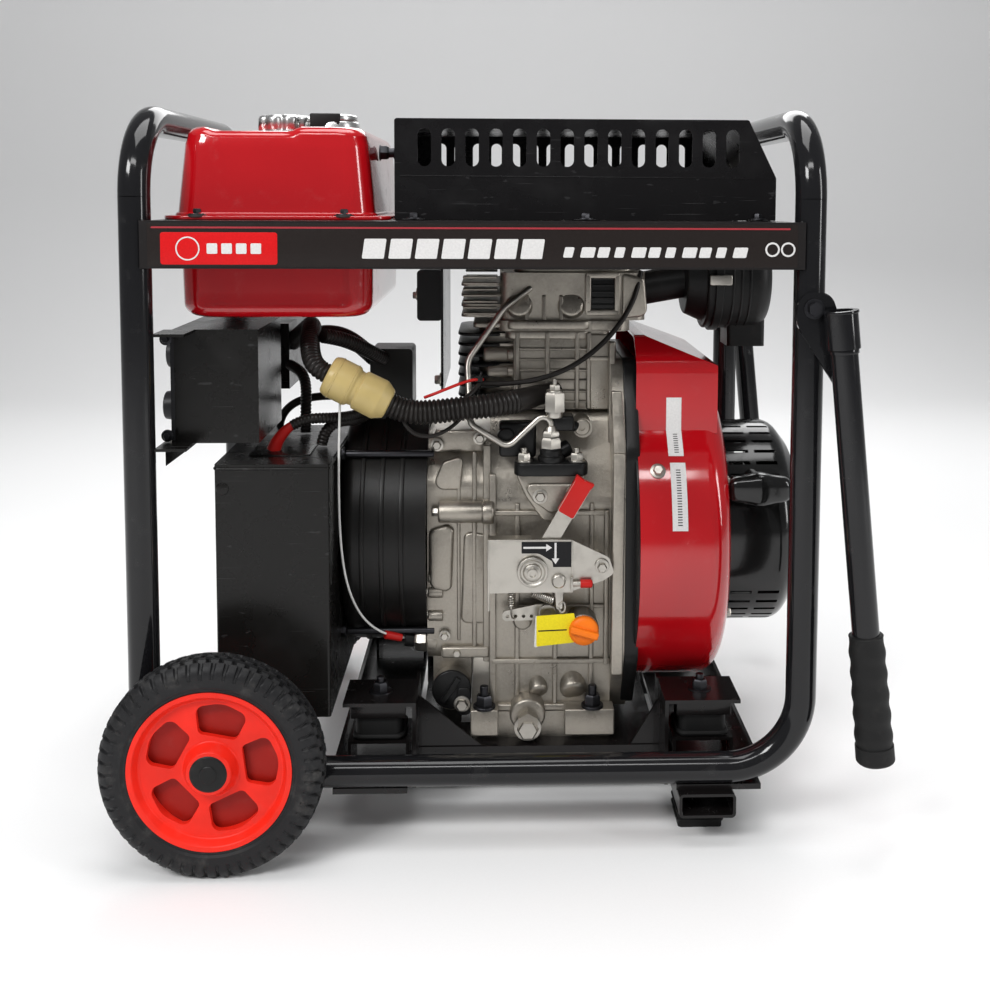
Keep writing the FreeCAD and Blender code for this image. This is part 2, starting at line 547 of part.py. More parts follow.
# ---- battery and control boxes ------------------------------------------------------------
def boxes():
    x0, x1, y0, y1, z0, z1 = -276.0, -156.0, -200.0, 20.0, 128.0, 398.0
    outer = plate(rounded(x0, x1, y0, y1, 3), "z", z0, z1)
    nodes["battery_box"] = outer.cut(plate(rounded(x0 + 2, x1 - 2, y0 + 2, y1 - 2, 1), "z", z0 + 2, z1))
    nodes["battery_lid"] = plate(rounded(x0, x1, y0, y1, 3), "z", z1, z1 + 5)

    bx0, bx1, by, bz0, bz1 = -318.0, -230.0, 190.0, 424.0, 545.0
    case = box(bx0, bx1, -by, -58, bz0, bz1).cut(box(bx0, bx1 - 2, -by + 2, -60, bz0 + 2, bz1 - 2))
    inverter = box(bx0, bx1 - 2, 10, by, 450, 530).cut(box(bx0, bx1 - 4, 12, by - 2, 452, 528))
    frame_edge = -post_x + tube_r
    pieces = [box(bx0, bx0 + 2, -60, 12, 450, 530)]
    for side, z_low, z_high in ((-1, bz0, bz1), (1, 450.0, 530.0)):
        y0, y1 = sorted((side * by, side * (loop_y + 4)))
        for z in (z_low, z_high - 3):
            pieces.append(box(frame_edge, -296, y0, y1, z, z + 3))
        web0, web1 = sorted((side * by, side * (by + 3)))
        pieces.append(plate([(frame_edge, z_low, 0), (-296, z_low, 0), (frame_edge, z_low - 24, 0)], "y", web0, web1))
    nodes["control_box"] = joined(case, inverter, *pieces)

    face = box(bx0 - 4, bx0, -by, by, bz0 + 1, bz1 - 1)
    sockets = [turned([(0, 0, 0), (26, 0, 1), (26, 7, 2), (21, 7, 0), (21, 3, 0), (0, 3, 0)],
                      V(bx0 - 4, y, 478), V(-1, 0, 0)) for y in (60, 122)]
    display = box(bx0 - 8, bx0 - 4, -40, 22, 500, 532)
    studs = [turned([(0, 0, 0), (17, 0, 1), (15, 16, 2), (9, 16, 0), (9, 6, 0), (0, 6, 0)],
                    V(bx0 - 4, y, 458), V(-1, 0, 0)) for y in (-150, -104)]
    breaker = box(bx0 - 12, bx0 - 4, 156, 186, 460, 506)
    breaker = breaker.cut(box(bx0 - 13, bx0 - 7, 163, 179, 470, 496))
    knob_pin = rod(V(bx0 - 4, -127, 512), V(bx0 - 14, -127, 512), 3)
    key_ring = turned([(4.2, 0, 0), (15, 0, 0), (14, 5, 1), (4.2, 5, 0)], V(bx0 - 4, -66, 462), V(-1, 0, 0))
    hinge_pin = rod(V(bx0 - 9, 163, 483), V(bx0 - 9, 179, 483), 1.5)
    nodes["control_panel"] = joined(face, *sockets, display, *studs, breaker, knob_pin, key_ring, hinge_pin)
    nodes["current_knob"] = turned([(3.05, 0.6, 0), (17, 0.6, 0), (15.5, 18, 2), (0, 18, 0), (0, 10.5, 0), (3.05, 10.5, 0)],
                                   V(bx0 - 4, -127, 512), V(-1, 0, 0))
    shank = rod(V(bx0 - 4.4, -66, 462), V(bx0 - 14, -66, 462), 4.1)
    nodes["key_switch"] = joined(shank, plate(rounded(-68, -64, 448, 476, 1.9), "x", bx0 - 32, bx0 - 12))
    toggle = plate([(bx0 - 22, 481, 1.5), (bx0 - 22, 487, 1.5), (bx0 - 9, 488, 2), (bx0 - 7.2, 483, 1.5), (bx0 - 9, 478, 2)],
                   "y", 165, 177)
    toggle.rotate(V(bx0 - 9, 0, 483), V(0, 1, 0), 20)
    nodes["breaker_toggle"] = toggle.cut(rod(V(bx0 - 9, 150, 483), V(bx0 - 9, 190, 483), 1.5 + running_gap))


# ---- wiring -------------------------------------------------------------------------------
def wiring():
    left, right = V(-163, -150, 492), V(-96, -150, 458)
    along = (right - left).normalize()
    length = (right - left).Length
    nodes["harness_connector"] = turned([(0, 0, 0), (22, 0, 3), (24, 8, 0), (24, 34, 2), (20.5, 38, 0), (22, 44, 2),
                                         (22, length - 8, 4), (17, length, 0), (0, length, 0)], left, along)
    leg = [right, right + along * 26, V(-20, -152, 452), V(56, -146, 457), V(92, -112, 462), V(112, -80, 466)]
    route = pipe(leg, wire_bends(leg), 13.5)
    feed = [left, left - along * 20, V(-188, -116, 528), V(-192, -60, 538), V(-207, 0, 526), V(-232, 30, 505)]
    link = [V(-232, 84, 500), V(-206, 72, 513), V(-165, 32, 516), V(-128, -5, 490)]
    print("conduit bends", [[round(b, 1) for b in wire_bends(points)] for points in (leg, feed, link)])
    nodes["harness_conduit"] = Part.makeCompound([
        trimmed(route, nodes["cylinder_block"]),
        trimmed(pipe(feed, wire_bends(feed), 11), nodes["control_box"]),
        trimmed(pipe(link, wire_bends(link), 10), nodes["control_box"], nodes["alternator_housing"])])

    runs = {
        "throttle_cable": ([V(2, -120, 484), V(46, -118, 478), V(95, -112, 486), V(146, -98, 520), V(178, -86, 562),
                            V(186, -75, 588)], 3.0),
        "sensor_wire": ([V(-150, -148, 412), V(-152, -152, 360), V(-151, -153, 300), V(-139, -150, 240),
                         V(-112, -130, 196), V(-80, -98, 174), V(-72, -92, 172)], 1.5),
        "battery_lead": ([V(-250, 30, 380), V(-249, 31, 414), V(-224, 30, 436), V(-174, 24, 440), V(-128, 5, 438)], 5.0),
    }
    mates = [nodes[n] for n in ("cylinder_head", "gear_cover", "alternator_housing")]
    solids = []
    for name, (points, radius) in runs.items():
        bends = wire_bends(points)
        print(name, "bends", [round(b, 1) for b in bends])
        solids.append(trimmed(pipe(points, bends, radius), *mates))
    nodes["loose_wiring"] = Part.makeCompound(solids)


def starter():
    body = joined(rod(V(60, 158, 226), V(flange_x, 158, 226), 36), rod(V(72, 158, 284), V(flange_x - 6, 158, 284), 21),
                  box(100, 130, 140, 176, 240, 280), box(120, flange_x, 105, 140, 200, 250))
    nodes["starter_motor"] = body.cut(nodes["crankcase"])


frame()
floor_plates()
engine_mounts()
wheels()
handles()
tank()
slotted_cover()
engine()
engine_controls()
flywheel_end()
alternator()
air_filter()
heat_shield()
boxes()
wiring()
starter()

os.makedirs("parts", exist_ok=True)
whole = FreeCAD.BoundBox()
for name, shape in sorted(nodes.items()):
    shape.translate(V(-middle_x, 0, 0))
    shape.exportStep("parts/" + name + ".step")
    whole.add(shape.BoundBox)
    if not shape.isValid() or shape.Volume <= 0:
        print("BAD", name, shape.isValid(), shape.Volume)
print(len(nodes), "nodes; box", whole)
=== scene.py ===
"""An engine driven welder set: the looks of each piece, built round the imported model.

Pieces are worked out in millimetres from the middle of the tube frame at floor level, with +X at the
recoil starter's end, -Y the service side and +Z up, and make_piece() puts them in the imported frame.
"""
import json
import math
import sys

import bmesh
import bpy
import numpy as np
from bpy.props import FloatProperty, FloatVectorProperty, IntProperty, PointerProperty
from mathutils import Matrix, Vector
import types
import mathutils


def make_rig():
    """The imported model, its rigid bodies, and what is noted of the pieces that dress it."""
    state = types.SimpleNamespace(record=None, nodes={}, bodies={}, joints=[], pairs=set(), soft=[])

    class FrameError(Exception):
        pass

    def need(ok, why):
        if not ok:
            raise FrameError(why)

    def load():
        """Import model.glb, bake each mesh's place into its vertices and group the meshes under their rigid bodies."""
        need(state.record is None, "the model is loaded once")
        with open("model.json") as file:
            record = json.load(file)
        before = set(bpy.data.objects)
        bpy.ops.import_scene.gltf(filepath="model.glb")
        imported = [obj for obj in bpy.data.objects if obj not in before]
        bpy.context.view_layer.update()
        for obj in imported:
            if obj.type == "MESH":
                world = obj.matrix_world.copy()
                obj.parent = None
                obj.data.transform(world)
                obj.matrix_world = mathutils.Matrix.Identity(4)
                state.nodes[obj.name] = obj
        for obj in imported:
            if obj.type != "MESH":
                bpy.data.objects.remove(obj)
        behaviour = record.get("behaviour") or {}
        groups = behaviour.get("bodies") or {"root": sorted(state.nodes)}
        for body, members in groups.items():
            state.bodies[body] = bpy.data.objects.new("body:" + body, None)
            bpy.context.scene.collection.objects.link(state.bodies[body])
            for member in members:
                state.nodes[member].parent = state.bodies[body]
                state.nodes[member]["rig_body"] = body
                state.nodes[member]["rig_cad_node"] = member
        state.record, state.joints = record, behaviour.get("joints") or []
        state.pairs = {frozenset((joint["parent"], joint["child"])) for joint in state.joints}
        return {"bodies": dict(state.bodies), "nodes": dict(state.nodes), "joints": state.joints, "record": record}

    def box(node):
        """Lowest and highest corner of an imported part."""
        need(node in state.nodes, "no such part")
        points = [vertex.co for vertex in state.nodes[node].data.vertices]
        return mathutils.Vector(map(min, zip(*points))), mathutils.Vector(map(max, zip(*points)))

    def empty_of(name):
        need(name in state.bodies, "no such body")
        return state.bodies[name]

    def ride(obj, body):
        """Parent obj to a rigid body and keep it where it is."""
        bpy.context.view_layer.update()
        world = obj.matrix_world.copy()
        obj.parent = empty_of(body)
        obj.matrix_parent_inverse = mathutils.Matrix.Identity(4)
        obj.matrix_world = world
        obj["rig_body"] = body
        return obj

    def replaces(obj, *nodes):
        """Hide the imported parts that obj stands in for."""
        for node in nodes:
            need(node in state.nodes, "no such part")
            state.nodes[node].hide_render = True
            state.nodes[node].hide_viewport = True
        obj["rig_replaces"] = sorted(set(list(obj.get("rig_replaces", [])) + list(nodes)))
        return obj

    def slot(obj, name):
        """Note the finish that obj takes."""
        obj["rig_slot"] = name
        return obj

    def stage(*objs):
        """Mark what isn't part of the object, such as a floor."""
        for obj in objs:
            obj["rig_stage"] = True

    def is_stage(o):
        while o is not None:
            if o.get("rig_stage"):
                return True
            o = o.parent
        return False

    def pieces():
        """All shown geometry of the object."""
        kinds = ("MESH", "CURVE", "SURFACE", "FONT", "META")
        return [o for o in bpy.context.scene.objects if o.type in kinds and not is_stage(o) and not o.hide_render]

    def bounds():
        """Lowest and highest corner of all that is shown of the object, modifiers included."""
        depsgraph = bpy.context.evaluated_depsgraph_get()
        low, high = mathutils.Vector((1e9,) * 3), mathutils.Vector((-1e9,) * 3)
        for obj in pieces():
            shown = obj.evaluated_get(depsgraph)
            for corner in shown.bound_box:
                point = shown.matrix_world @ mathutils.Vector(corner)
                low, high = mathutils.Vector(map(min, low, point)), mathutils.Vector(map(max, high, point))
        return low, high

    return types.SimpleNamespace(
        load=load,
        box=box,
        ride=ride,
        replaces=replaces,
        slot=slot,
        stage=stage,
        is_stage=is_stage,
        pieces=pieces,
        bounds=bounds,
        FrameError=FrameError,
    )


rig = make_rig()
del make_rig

bl_info = {
    "name": "Engine driven welder",
    "version": (1, 0, 0),
    "blender": (4, 5, 0),
    "location": "View3D > Sidebar > Welder",
    "description": "Builds the looks of an open-frame engine driven welder set",
    "category": "Object",
}

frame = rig.load()
cad_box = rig.bounds()

MM = 0.001
RIGHT, LEFT, FORWARD, UP, DOWN = (1, 0, 0), (-1, 0, 0), (0, -1, 0), (0, 0, 1), (0, 0, -1)
CRANK_Z = 290.0             # height of the crankshaft, which the alternator and the blower turn about
LEVER_AT = (61.0, 273.0)    # (x, z) of the stop lever's pivot
SPEED_AT = (79, 217)        # (x, z) of the speed lever's pivot
DIPSTICK_AT = (119.0, 202.0)
PUMP_AT = (82.0, -131.0)    # (x, y) of the injection pump's plunger
ROPE_AT = (317.0, 359.0)    # (x, z) of the starter rope
loop_low, loop_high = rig.box("frame_loop_front")
middle_x = (loop_low.x + loop_high.x) / 2


def span(node):
    """The lowest and highest corner of a CAD node, in millimetres from the middle of the tube frame."""
    low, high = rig.box(node)
    shift = Vector((middle_x, 0, 0))
    return np.array(low - shift) / MM, np.array(high - shift) / MM


# ---- shapes -------------------------------------------------------------------------------
class Shape:
    """Places in millimetres, an (n, 3) array, and faces, a list of (m, k) arrays of corner numbers."""

    def __init__(self, points, faces):
        self.points = np.asarray(points, float)
        self.faces = faces

    def __add__(self, other):
        start = len(self.points)
        return Shape(np.vstack([self.points, other.points]), self.faces + [f + start for f in other.faces])

    def moved(self, x=0.0, y=0.0, z=0.0):
        """The shape shifted by so many millimetres."""
        return Shape(self.points + (x, y, z), self.faces)

    def turned(self, degrees, axis, about=(0, 0, 0)):
        """The shape turned about the axis that runs through a place."""
        turn = np.array(Matrix.Rotation(math.radians(degrees), 3, axis))
        return Shape((self.points - about) @ turn.T + about, self.faces)

    def far_side(self):
        """The same shape on the other side of the middle plane, which is at Y = 0."""
        return Shape(self.points * (1, -1, 1), [f[:, ::-1] for f in self.faces])


def together(shapes):
    """One shape out of several, in their order."""
    total = None
    for shape in shapes:
        total = shape if total is None else total + shape
    return total


def grid(points, close_rows=False, close_columns=False, caps=False):
    """Faces between neighbours on a (rows, columns, 3) grid; a closed side joins its last line to its first,
    and caps fill the first and last rows."""
    rows, columns = points.shape[:2]
    number = np.arange(rows * columns).reshape(rows, columns)
    ends = [number[:1, ::-1], number[-1:]] if caps else []
    if close_rows:
        number = np.vstack([number, number[:1]])
    if close_columns:
        number = np.hstack([number, number[:, :1]])
    quads = np.stack([number[:-1, :-1], number[:-1, 1:], number[1:, 1:], number[1:, :-1]], -1).reshape(-1, 4)
    return Shape(points.reshape(-1, 3), [quads] + ends)


def unit(vectors):
    """Each vector divided by its own length."""
    vectors = np.asarray(vectors, float)
    return vectors / np.linalg.norm(vectors, axis=-1, keepdims=True)


def across(direction):
    """Two unit vectors at right angles to a direction and to each other."""
    ahead = unit(direction)
    helper = np.array((0.0, 0.0, 1.0)) if abs(ahead[2]) < 0.9 else np.array((1.0, 0.0, 0.0))
    first = unit(np.cross(helper, ahead))
    return first, np.cross(ahead, first)


def fillet(points, radii, closed=False, steps=6):
    """A run of straight lines with an arc at each corner: the arc's centre lies on the corner's bisector, at
    radius / sin(half angle), and the arc starts and ends radius / tan(half angle) from the corner."""
    points = np.asarray(points, float)
    count = len(points)
    radii = np.broadcast_to(radii, count) if closed else np.concatenate([[0],
            np.broadcast_to(radii, count - 2), [0]])
    parts = []
    for i, (corner, radius) in enumerate(zip(points, radii)):
        if radius <= 0:
            parts.append(corner[None])
            continue
        back, ahead = unit(points[i - 1] - corner), unit(points[(i + 1) % count] - corner)
        half = math.acos(float(np.clip(back @ ahead, -1, 1))) / 2
        middle = corner + unit(back + ahead) * radius / math.sin(half)
        first = unit(corner + back * radius / math.tan(half) - middle)
        last = unit(corner + ahead * radius / math.tan(half) - middle)
        side = unit(last - first * (first @ last))
        angle = np.linspace(0, math.pi - 2 * half, steps + 1)[:, None]
        parts.append(middle + radius * (np.cos(angle) * first + np.sin(angle) * side))
    run = np.vstack(parts)
    fresh = np.linalg.norm(run - np.roll(run, 1, 0), axis=1) > 1e-6
    fresh[0] = fresh[0] or not closed
    return run[fresh]


def corners_of(u0, u1, v0, v1, radius=0.0):
    """The four (u, v, radius) corners of a rectangle."""
    return [(u0, v0, radius), (u1, v0, radius), (u1, v1, radius), (u0, v1, radius)]


def outline(corners, steps=6):
    """A closed (u, v) outline from (u, v, radius) corners."""
    corners = np.asarray(corners, float)
    return fillet(corners[:, :2], corners[:, 2], closed=True, steps=steps)


def drawn_in(points, distance):
    """A closed outline moved inwards: each point goes along its bisector by distance / cos(half turn)."""
    before, after = unit(points - np.roll(points, 1, 0)), unit(np.roll(points, -1, 0) - points)
    left_before = np.stack([-before[:, 1], before[:, 0]], -1)
    left_after = np.stack([-after[:, 1], after[:, 0]], -1)
    bisector = unit(left_before + left_after)
    area = np.sum(points[:, 0] * np.roll(points[:, 1], -1) - points[:, 1] * np.roll(points[:, 0], -1))
    stretch = np.clip(np.sum(bisector * left_before, -1, keepdims=True), 0.3, 1)
    return points + np.sign(area) * distance * bisector / stretch


AXES = {"x": (1, 2, 0), "y": (0, 2, 1), "z": (0, 1, 2)}


def on_axis(axis, flat, level):
    """(u, v) points at a level along an axis, in the order of the other two letters."""
    place = np.zeros((len(flat), 3))
    u, v, w = AXES[axis]
    place[:, u], place[:, v], place[:, w] = flat[:, 0], flat[:, 1], level
    return place


def prism(corners, axis, low, high, edge=0.8, steps=6):
    """An outline given a thickness, with rounded rims: at angle a the ring is drawn in by edge (1 - cos a)
    and lies edge (1 - sin a) from the end."""
    flat = outline(corners, steps)
    bend = np.radians([90, 60, 30, 0]) if edge > 0 else np.array([0.0])
    rings = [on_axis(axis, drawn_in(flat, edge * (1 - math.cos(a))), low + edge * (1 - math.sin(a)))
             for a in bend]
    rings += [on_axis(axis, drawn_in(flat, edge * (1 - math.cos(a))), high - edge * (1 - math.sin(a)))
              for a in bend[::-1]]
    return grid(np.array(rings), close_columns=True, caps=True)


def slab(x0, x1, y0, y1, z0, z1, edge=0.8):
    """A block with rounded edges."""
    return prism(corners_of(x0, x1, y0, y1, max(edge, 0.01) * 1.05), "z", z0, z1, edge, 3)


def lathe(corners, base, direction=UP, sides=48, steps=4):
    """A closed (radius, height, corner radius) outline turned about the line through base: a place is
    base + height * axis + radius * (cos a * first + sin a * second)."""
    profile = outline(corners, steps)
    axis = unit(direction)
    first, second = across(axis)
    angle = np.arange(sides) * 2 * math.pi / sides
    spokes = np.cos(angle)[:, None] * first + np.sin(angle)[:, None] * second
    places = np.asarray(base) + profile[None, :, 1:2] * axis + profile[None, :, 0:1] * spokes[:, None]
    return grid(places, close_rows=True, close_columns=True)


def disc_of(radius, high, edge, base, direction=UP, sides=48, steps=4):
    """A round plate on a base, with its outer rim rounded."""
    return lathe([(0, 0, 0), (radius, 0, 0), (radius, high, edge), (0, high, 0)], base, direction, sides,
                 steps)


def flat_ring(inner, outer, high, edge, base, direction=UP, sides=48, steps=4):
    """A round plate with a hole, its outer rim rounded."""
    corners = [(inner, 0, 0), (outer, 0, 0), (outer, high, edge), (inner, high, 0)]
    return lathe(corners, base, direction, sides, steps)


def rod(start, end, radius, edge=0.5, sides=32):
    """A round bar between two places, with rounded rims."""
    start, end = np.asarray(start, float), np.asarray(end, float)
    length = np.linalg.norm(end - start)
    profile = [(0, 0, 0), (radius, 0, edge), (radius, length, edge), (0, length, 0)]
    return lathe(profile, start, end - start, sides, 3)


def spline(points, steps=10):
    """A smooth uniform cubic B-spline that starts and ends on its first and last point: each stretch is
    the weighted mean of four neighbours, with a mirrored point beyond each end."""
    points = np.asarray(points, float)
    knots = np.vstack([2 * points[0] - points[1], points, 2 * points[-1] - points[-2]])
    t = np.linspace(0, 1, steps, endpoint=False)[None, :, None]
    a, b, c, d = (knots[i:len(knots) - 3 + i, None] for i in range(4))
    run = ((1 - t) ** 3 * a + (3 * t ** 3 - 6 * t ** 2 + 4) * b
           + (-3 * t ** 3 + 3 * t ** 2 + 3 * t + 1) * c + t ** 3 * d) / 6
    return np.vstack([run.reshape(-1, 3), points[-1:]])


def resampled(path, pitch):
    """A path's points again, at even steps of about one pitch along it."""
    reach = np.concatenate([[0], np.cumsum(np.linalg.norm(np.diff(path, axis=0), axis=1))])
    even = np.linspace(0, reach[-1], max(2, int(round(reach[-1] / pitch)) + 1))
    return np.stack([np.interp(even, reach, path[:, k]) for k in range(3)], -1), even


def tube(path, radius, sides=24, closed=False):
    """A skin round a path: each ring is radius * (cos a * first + sin a * second), in a pair of directions
    that is carried along the path without twisting.  radius is one number or one for each point."""
    path = np.asarray(path, float)
    ahead = unit(np.gradient(path, axis=0))
    if closed:
        ahead = unit(np.roll(path, -1, 0) - np.roll(path, 1, 0))
    first = across(ahead[0])[0]
    firsts = []
    for direction in ahead:
        first = unit(first - direction * (first @ direction))
        firsts.append(first)
    firsts = np.array(firsts)
    seconds = np.cross(ahead, firsts)
    angle = np.arange(sides) * 2 * math.pi / sides
    reach = np.broadcast_to(radius, len(path))[:, None, None]
    ring = np.cos(angle)[None, :, None] * firsts[:, None] + np.sin(angle)[None, :, None] * seconds[:, None]
    return grid(path[:, None] + reach * ring, close_rows=closed, close_columns=True, caps=not closed)


def ribbed_hose(points, radius, pitch=5.0, depth=0.12, sides=28):
    """A corrugated hose: at s along a smooth path it is radius * (1 - depth * wave ** 2) thick, where wave is
    (1 - cos(2 pi s / pitch)) / 2."""
    path, s = resampled(spline(points, 16), pitch / 8)
    wave = (1 - np.cos(2 * math.pi * s / pitch)) / 2
    return tube(path, radius * (1 - depth * wave ** 2), sides)


def coil(start, end, radius, wire, turns, sides=8):
    """A spring: a helix of so many turns between two places."""
    start, end = np.asarray(start, float), np.asarray(end, float)
    t = np.linspace(0, 1, int(turns * 16) + 1)[:, None]
    first, second = across(end - start)
    a = 2 * math.pi * turns * t
    return tube(start + (end - start) * t + radius * (np.cos(a) * first + np.sin(a) * second), wire, sides)


def bolt(place, direction, wide=8.0, head=4.5, washer=0.0, sides=6):
    """A hexagon head with a chamfered crown, standing on a washer."""
    place, direction = np.asarray(place, float), unit(direction)
    r = wide / math.sqrt(3)
    thick = 1.4 if washer else 0.0
    crown = [(0, 0, 0), (r, 0, 0), (r, head - 0.14 * wide, 0), (0.82 * r, head, 0), (0, head, 0)]
    shape = lathe(crown, place + direction * thick, direction, sides, 1)
    if washer:
        disc = [(0, -0.2, 0), (washer, -0.2, 0), (washer, thick, 0.5), (0, thick, 0)]
        shape += lathe(disc, place, direction, 24, 2)
    return shape


def socket_screw(place, direction, radius=4.0, head=4.0):
    """A round head with a hollow in its crown."""
    profile = [(0, 0, 0), (radius, 0, 0), (radius, head, 0.6), (radius * 0.55, head, 0.2),
               (radius * 0.5, head * 0.4, 0), (0, head * 0.4, 0)]
    return lathe(profile, place, direction, 20, 2)


def make_piece(name, shape, slot, finish="", body="frame", replaces=(), sharp=35.0):
    """Puts a shape, or a list of them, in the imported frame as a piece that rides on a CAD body.  Its finish
    is the slot's own unless another is named, and edges sharper than so many degrees stay hard."""
    if isinstance(shape, list):
        shape = together(shape)
    mesh = bpy.data.meshes.new(name)
    places = shape.points * MM + (middle_x, 0, 0)
    mesh.from_pydata(places.tolist(), [], [face for part in shape.faces for face in part.tolist()])
    shell = bmesh.new()
    shell.from_mesh(mesh)
    bmesh.ops.remove_doubles(shell, verts=shell.verts, dist=0.002 * MM)
    bmesh.ops.dissolve_degenerate(shell, edges=shell.edges, dist=0.001 * MM)
    bmesh.ops.recalc_face_normals(shell, faces=shell.faces)
    shell.to_mesh(mesh)
    shell.free()
    mesh.shade_smooth()
    mesh.set_sharp_from_angle(angle=math.radians(sharp))
    mesh.materials.append(finishes[finish or slot])
    piece = bpy.data.objects.new(name, mesh)
    bpy.context.scene.collection.objects.link(piece)
    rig.ride(piece, body)
    if replaces:
        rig.replaces(piece, *replaces)
    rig.slot(piece, slot)


def make_pair(prefix, front, slot, finish="", body="frame", replaces="", sharp=35.0):
    """A piece on the service side and its twin on the far side.  The side's name follows the prefix, the
    replaced node's name, and a body's name that ends in a low line."""
    for side, shape in (("front", front), ("rear", front.far_side())):
        rides_on = body + side if body.endswith("_") else body
        make_piece(prefix + side, shape, slot, finish, rides_on, [replaces + side] if replaces else (),
                   sharp)


# ---- finishes -----------------------------------------------------------------------------
class Value:
    """A shader socket that takes part in Python sums; each sum adds one Math node."""

    def __init__(self, finish, socket):
        self.finish = finish
        self.socket = socket

    def sum(self, operation, first, second=0.0):
        """One Math node."""
        return self.finish.add("Math", {"operation": operation}, {0: first, 1: second})

    def __add__(self, other):
        return self.sum("ADD", self, other)

    def __radd__(self, other):
        return self.sum("ADD", other, self)

    def __sub__(self, other):
        return self.sum("SUBTRACT", self, other)

    def __rsub__(self, other):
        return self.sum("SUBTRACT", other, self)

    def __mul__(self, other):
        return self.sum("MULTIPLY", self, other)

    def __rmul__(self, other):
        return self.sum("MULTIPLY", other, self)

    def __truediv__(self, other):
        return self.sum("DIVIDE", self, other)

    def __pow__(self, other):
        return self.sum("POWER", self, other)

    def between(self, low, high):
        """0 below low, 1 above high, and a smooth rise from one to the other."""
        return self.finish.add("MapRange", {"interpolation_type": "SMOOTHSTEP"}, {0: self, 1: low, 2: high})


class Finish:
    """One material: a Principled shader whose constants are set on its own sockets."""

    def __init__(self, name, **constants):
        self.material = bpy.data.materials.new(name)
        self.material.use_nodes = True
        self.tree = self.material.node_tree
        self.shader = self.tree.nodes["Principled BSDF"]
        for socket, value in constants.items():
            self.shader.inputs[socket.replace("_", " ")].default_value = value
        self.places = self.add("TexCoord", {}, {}, "Object")

    def add(self, kind, settings, inputs, out=0):
        """Any node: its settings first, then the values or links of its sockets."""
        node = self.tree.nodes.new("ShaderNode" + kind)
        for key, value in settings.items():
            setattr(node, key, value)
        for key, value in inputs.items():
            if isinstance(value, Value):
                self.tree.links.new(value.socket, node.inputs[key])
            else:
                node.inputs[key].default_value = value
        return Value(self, node.outputs[out])

    def stretched(self, x, y, z):
        """Object coordinates times three factors; a small one draws the pattern out that way."""
        return self.add("Mapping", {}, {"Vector": self.places, "Scale": (x, y, z)})

    def noise(self, size, detail=3.0, rough=0.55, places=None):
        """Cloudy values from 0 to 1 whose lumps are about size millimetres across."""
        return self.add("TexNoise", {}, {"Vector": places or self.places, "Scale": 1 / (size * MM),
                                         "Detail": detail, "Roughness": rough}, "Fac")

    def cells(self, size, places=None):
        """Distance to the nearest of a cloud of random points about size millimetres apart."""
        return self.add("TexVoronoi", {}, {"Vector": places or self.places, "Scale": 1 / (size * MM)},
                        "Distance")

    def mix(self, mask, first, second):
        """first where the mask is 0 and second where it is 1."""
        return self.add("Mix", {"data_type": "RGBA"}, {0: mask, 6: first, 7: second}, 2)

    def bump(self, height, strength, depth):
        """Relief of so many millimetres."""
        normal = self.add("Bump", {}, {"Strength": strength, "Distance": depth * MM, "Height": height})
        self.set("Normal", normal)

    def set(self, socket, value):
        """Links a value to one of the shader's sockets."""
        self.tree.links.new(value.socket, self.shader.inputs[socket])


def tint(colour, factor):
    """A colour made lighter or darker, with full alpha."""
    return tuple(min(1.0, c * factor) for c in colour[:3]) + (1.0,)


def gloss_paint(name, colour, roughness=0.16, peel=0.10, shine=0.5, coat=0.5):
    """Sprayed enamel: a faint orange peel, slow changes of tone, and a little dust in places."""
    f = Finish(name, Specular_IOR_Level=shine, Coat_Weight=coat, Coat_Roughness=0.06)
    tone = f.noise(140, 2.0).between(0.3, 0.7)
    dust = f.noise(24, 5.0, 0.65).between(0.56, 0.82)
    f.set("Base Color", f.mix(dust * 0.03, f.mix(tone, tint(colour, 0.92), tint(colour, 1.06)),
                              (0.42, 0.41, 0.40, 1)))
    f.set("Roughness", roughness + 0.22 * dust + 0.04 * tone)
    f.bump(f.noise(2.6, 2.0), peel, 0.25)
    return f.material


def powder_coat(name, colour, roughness=0.42, grain=0.22, scuff=0.10, shine=0.25):
    """Textured powder coat: fine pimples, faint scuffs, and dust that lies unevenly."""
    f = Finish(name, Specular_IOR_Level=shine)
    dust = f.noise(40, 6.0, 0.6).between(0.5, 0.85)
    scuffs = f.noise(3.0, 3.0, 0.6, f.stretched(0.25, 0.25, 2.2)).between(0.66, 0.74)
    ground = f.mix(dust * 0.14, tint(colour, 0.8), tint(colour, 2.0))
    f.set("Base Color", f.mix(scuffs * scuff * 0.4, ground, (0.35, 0.35, 0.35, 1)))
    f.set("Roughness", roughness + 0.14 * dust + 0.08 * scuffs)
    f.bump(f.noise(0.9, 3.0), grain, 0.3)
    return f.material


def scratched_sheet(name, colour):
    """Satin black sheet steel with handling scratches that run mostly one way."""
    f = Finish(name, Specular_IOR_Level=0.22, Coat_Weight=0.04, Coat_Roughness=0.12)
    fine = f.noise(5.0, 2.0, 0.5, f.stretched(0.06, 0.5, 3.0)).between(0.68, 0.72)
    lengthways = f.noise(7.0, 2.0, 0.5, f.stretched(0.4, 0.5, 1.2)).between(0.70, 0.74)
    dust = f.noise(60, 5.0, 0.6).between(0.45, 0.8)
    f.set("Base Color", f.mix(0.05 * fine + 0.04 * lengthways + 0.010 * dust, colour, (0.45, 0.45, 0.46, 1)))
    f.set("Roughness", 0.26 + 0.14 * dust + 0.2 * fine)
    f.bump(f.noise(1.4, 3.0), 0.12, 0.25)
    return f.material


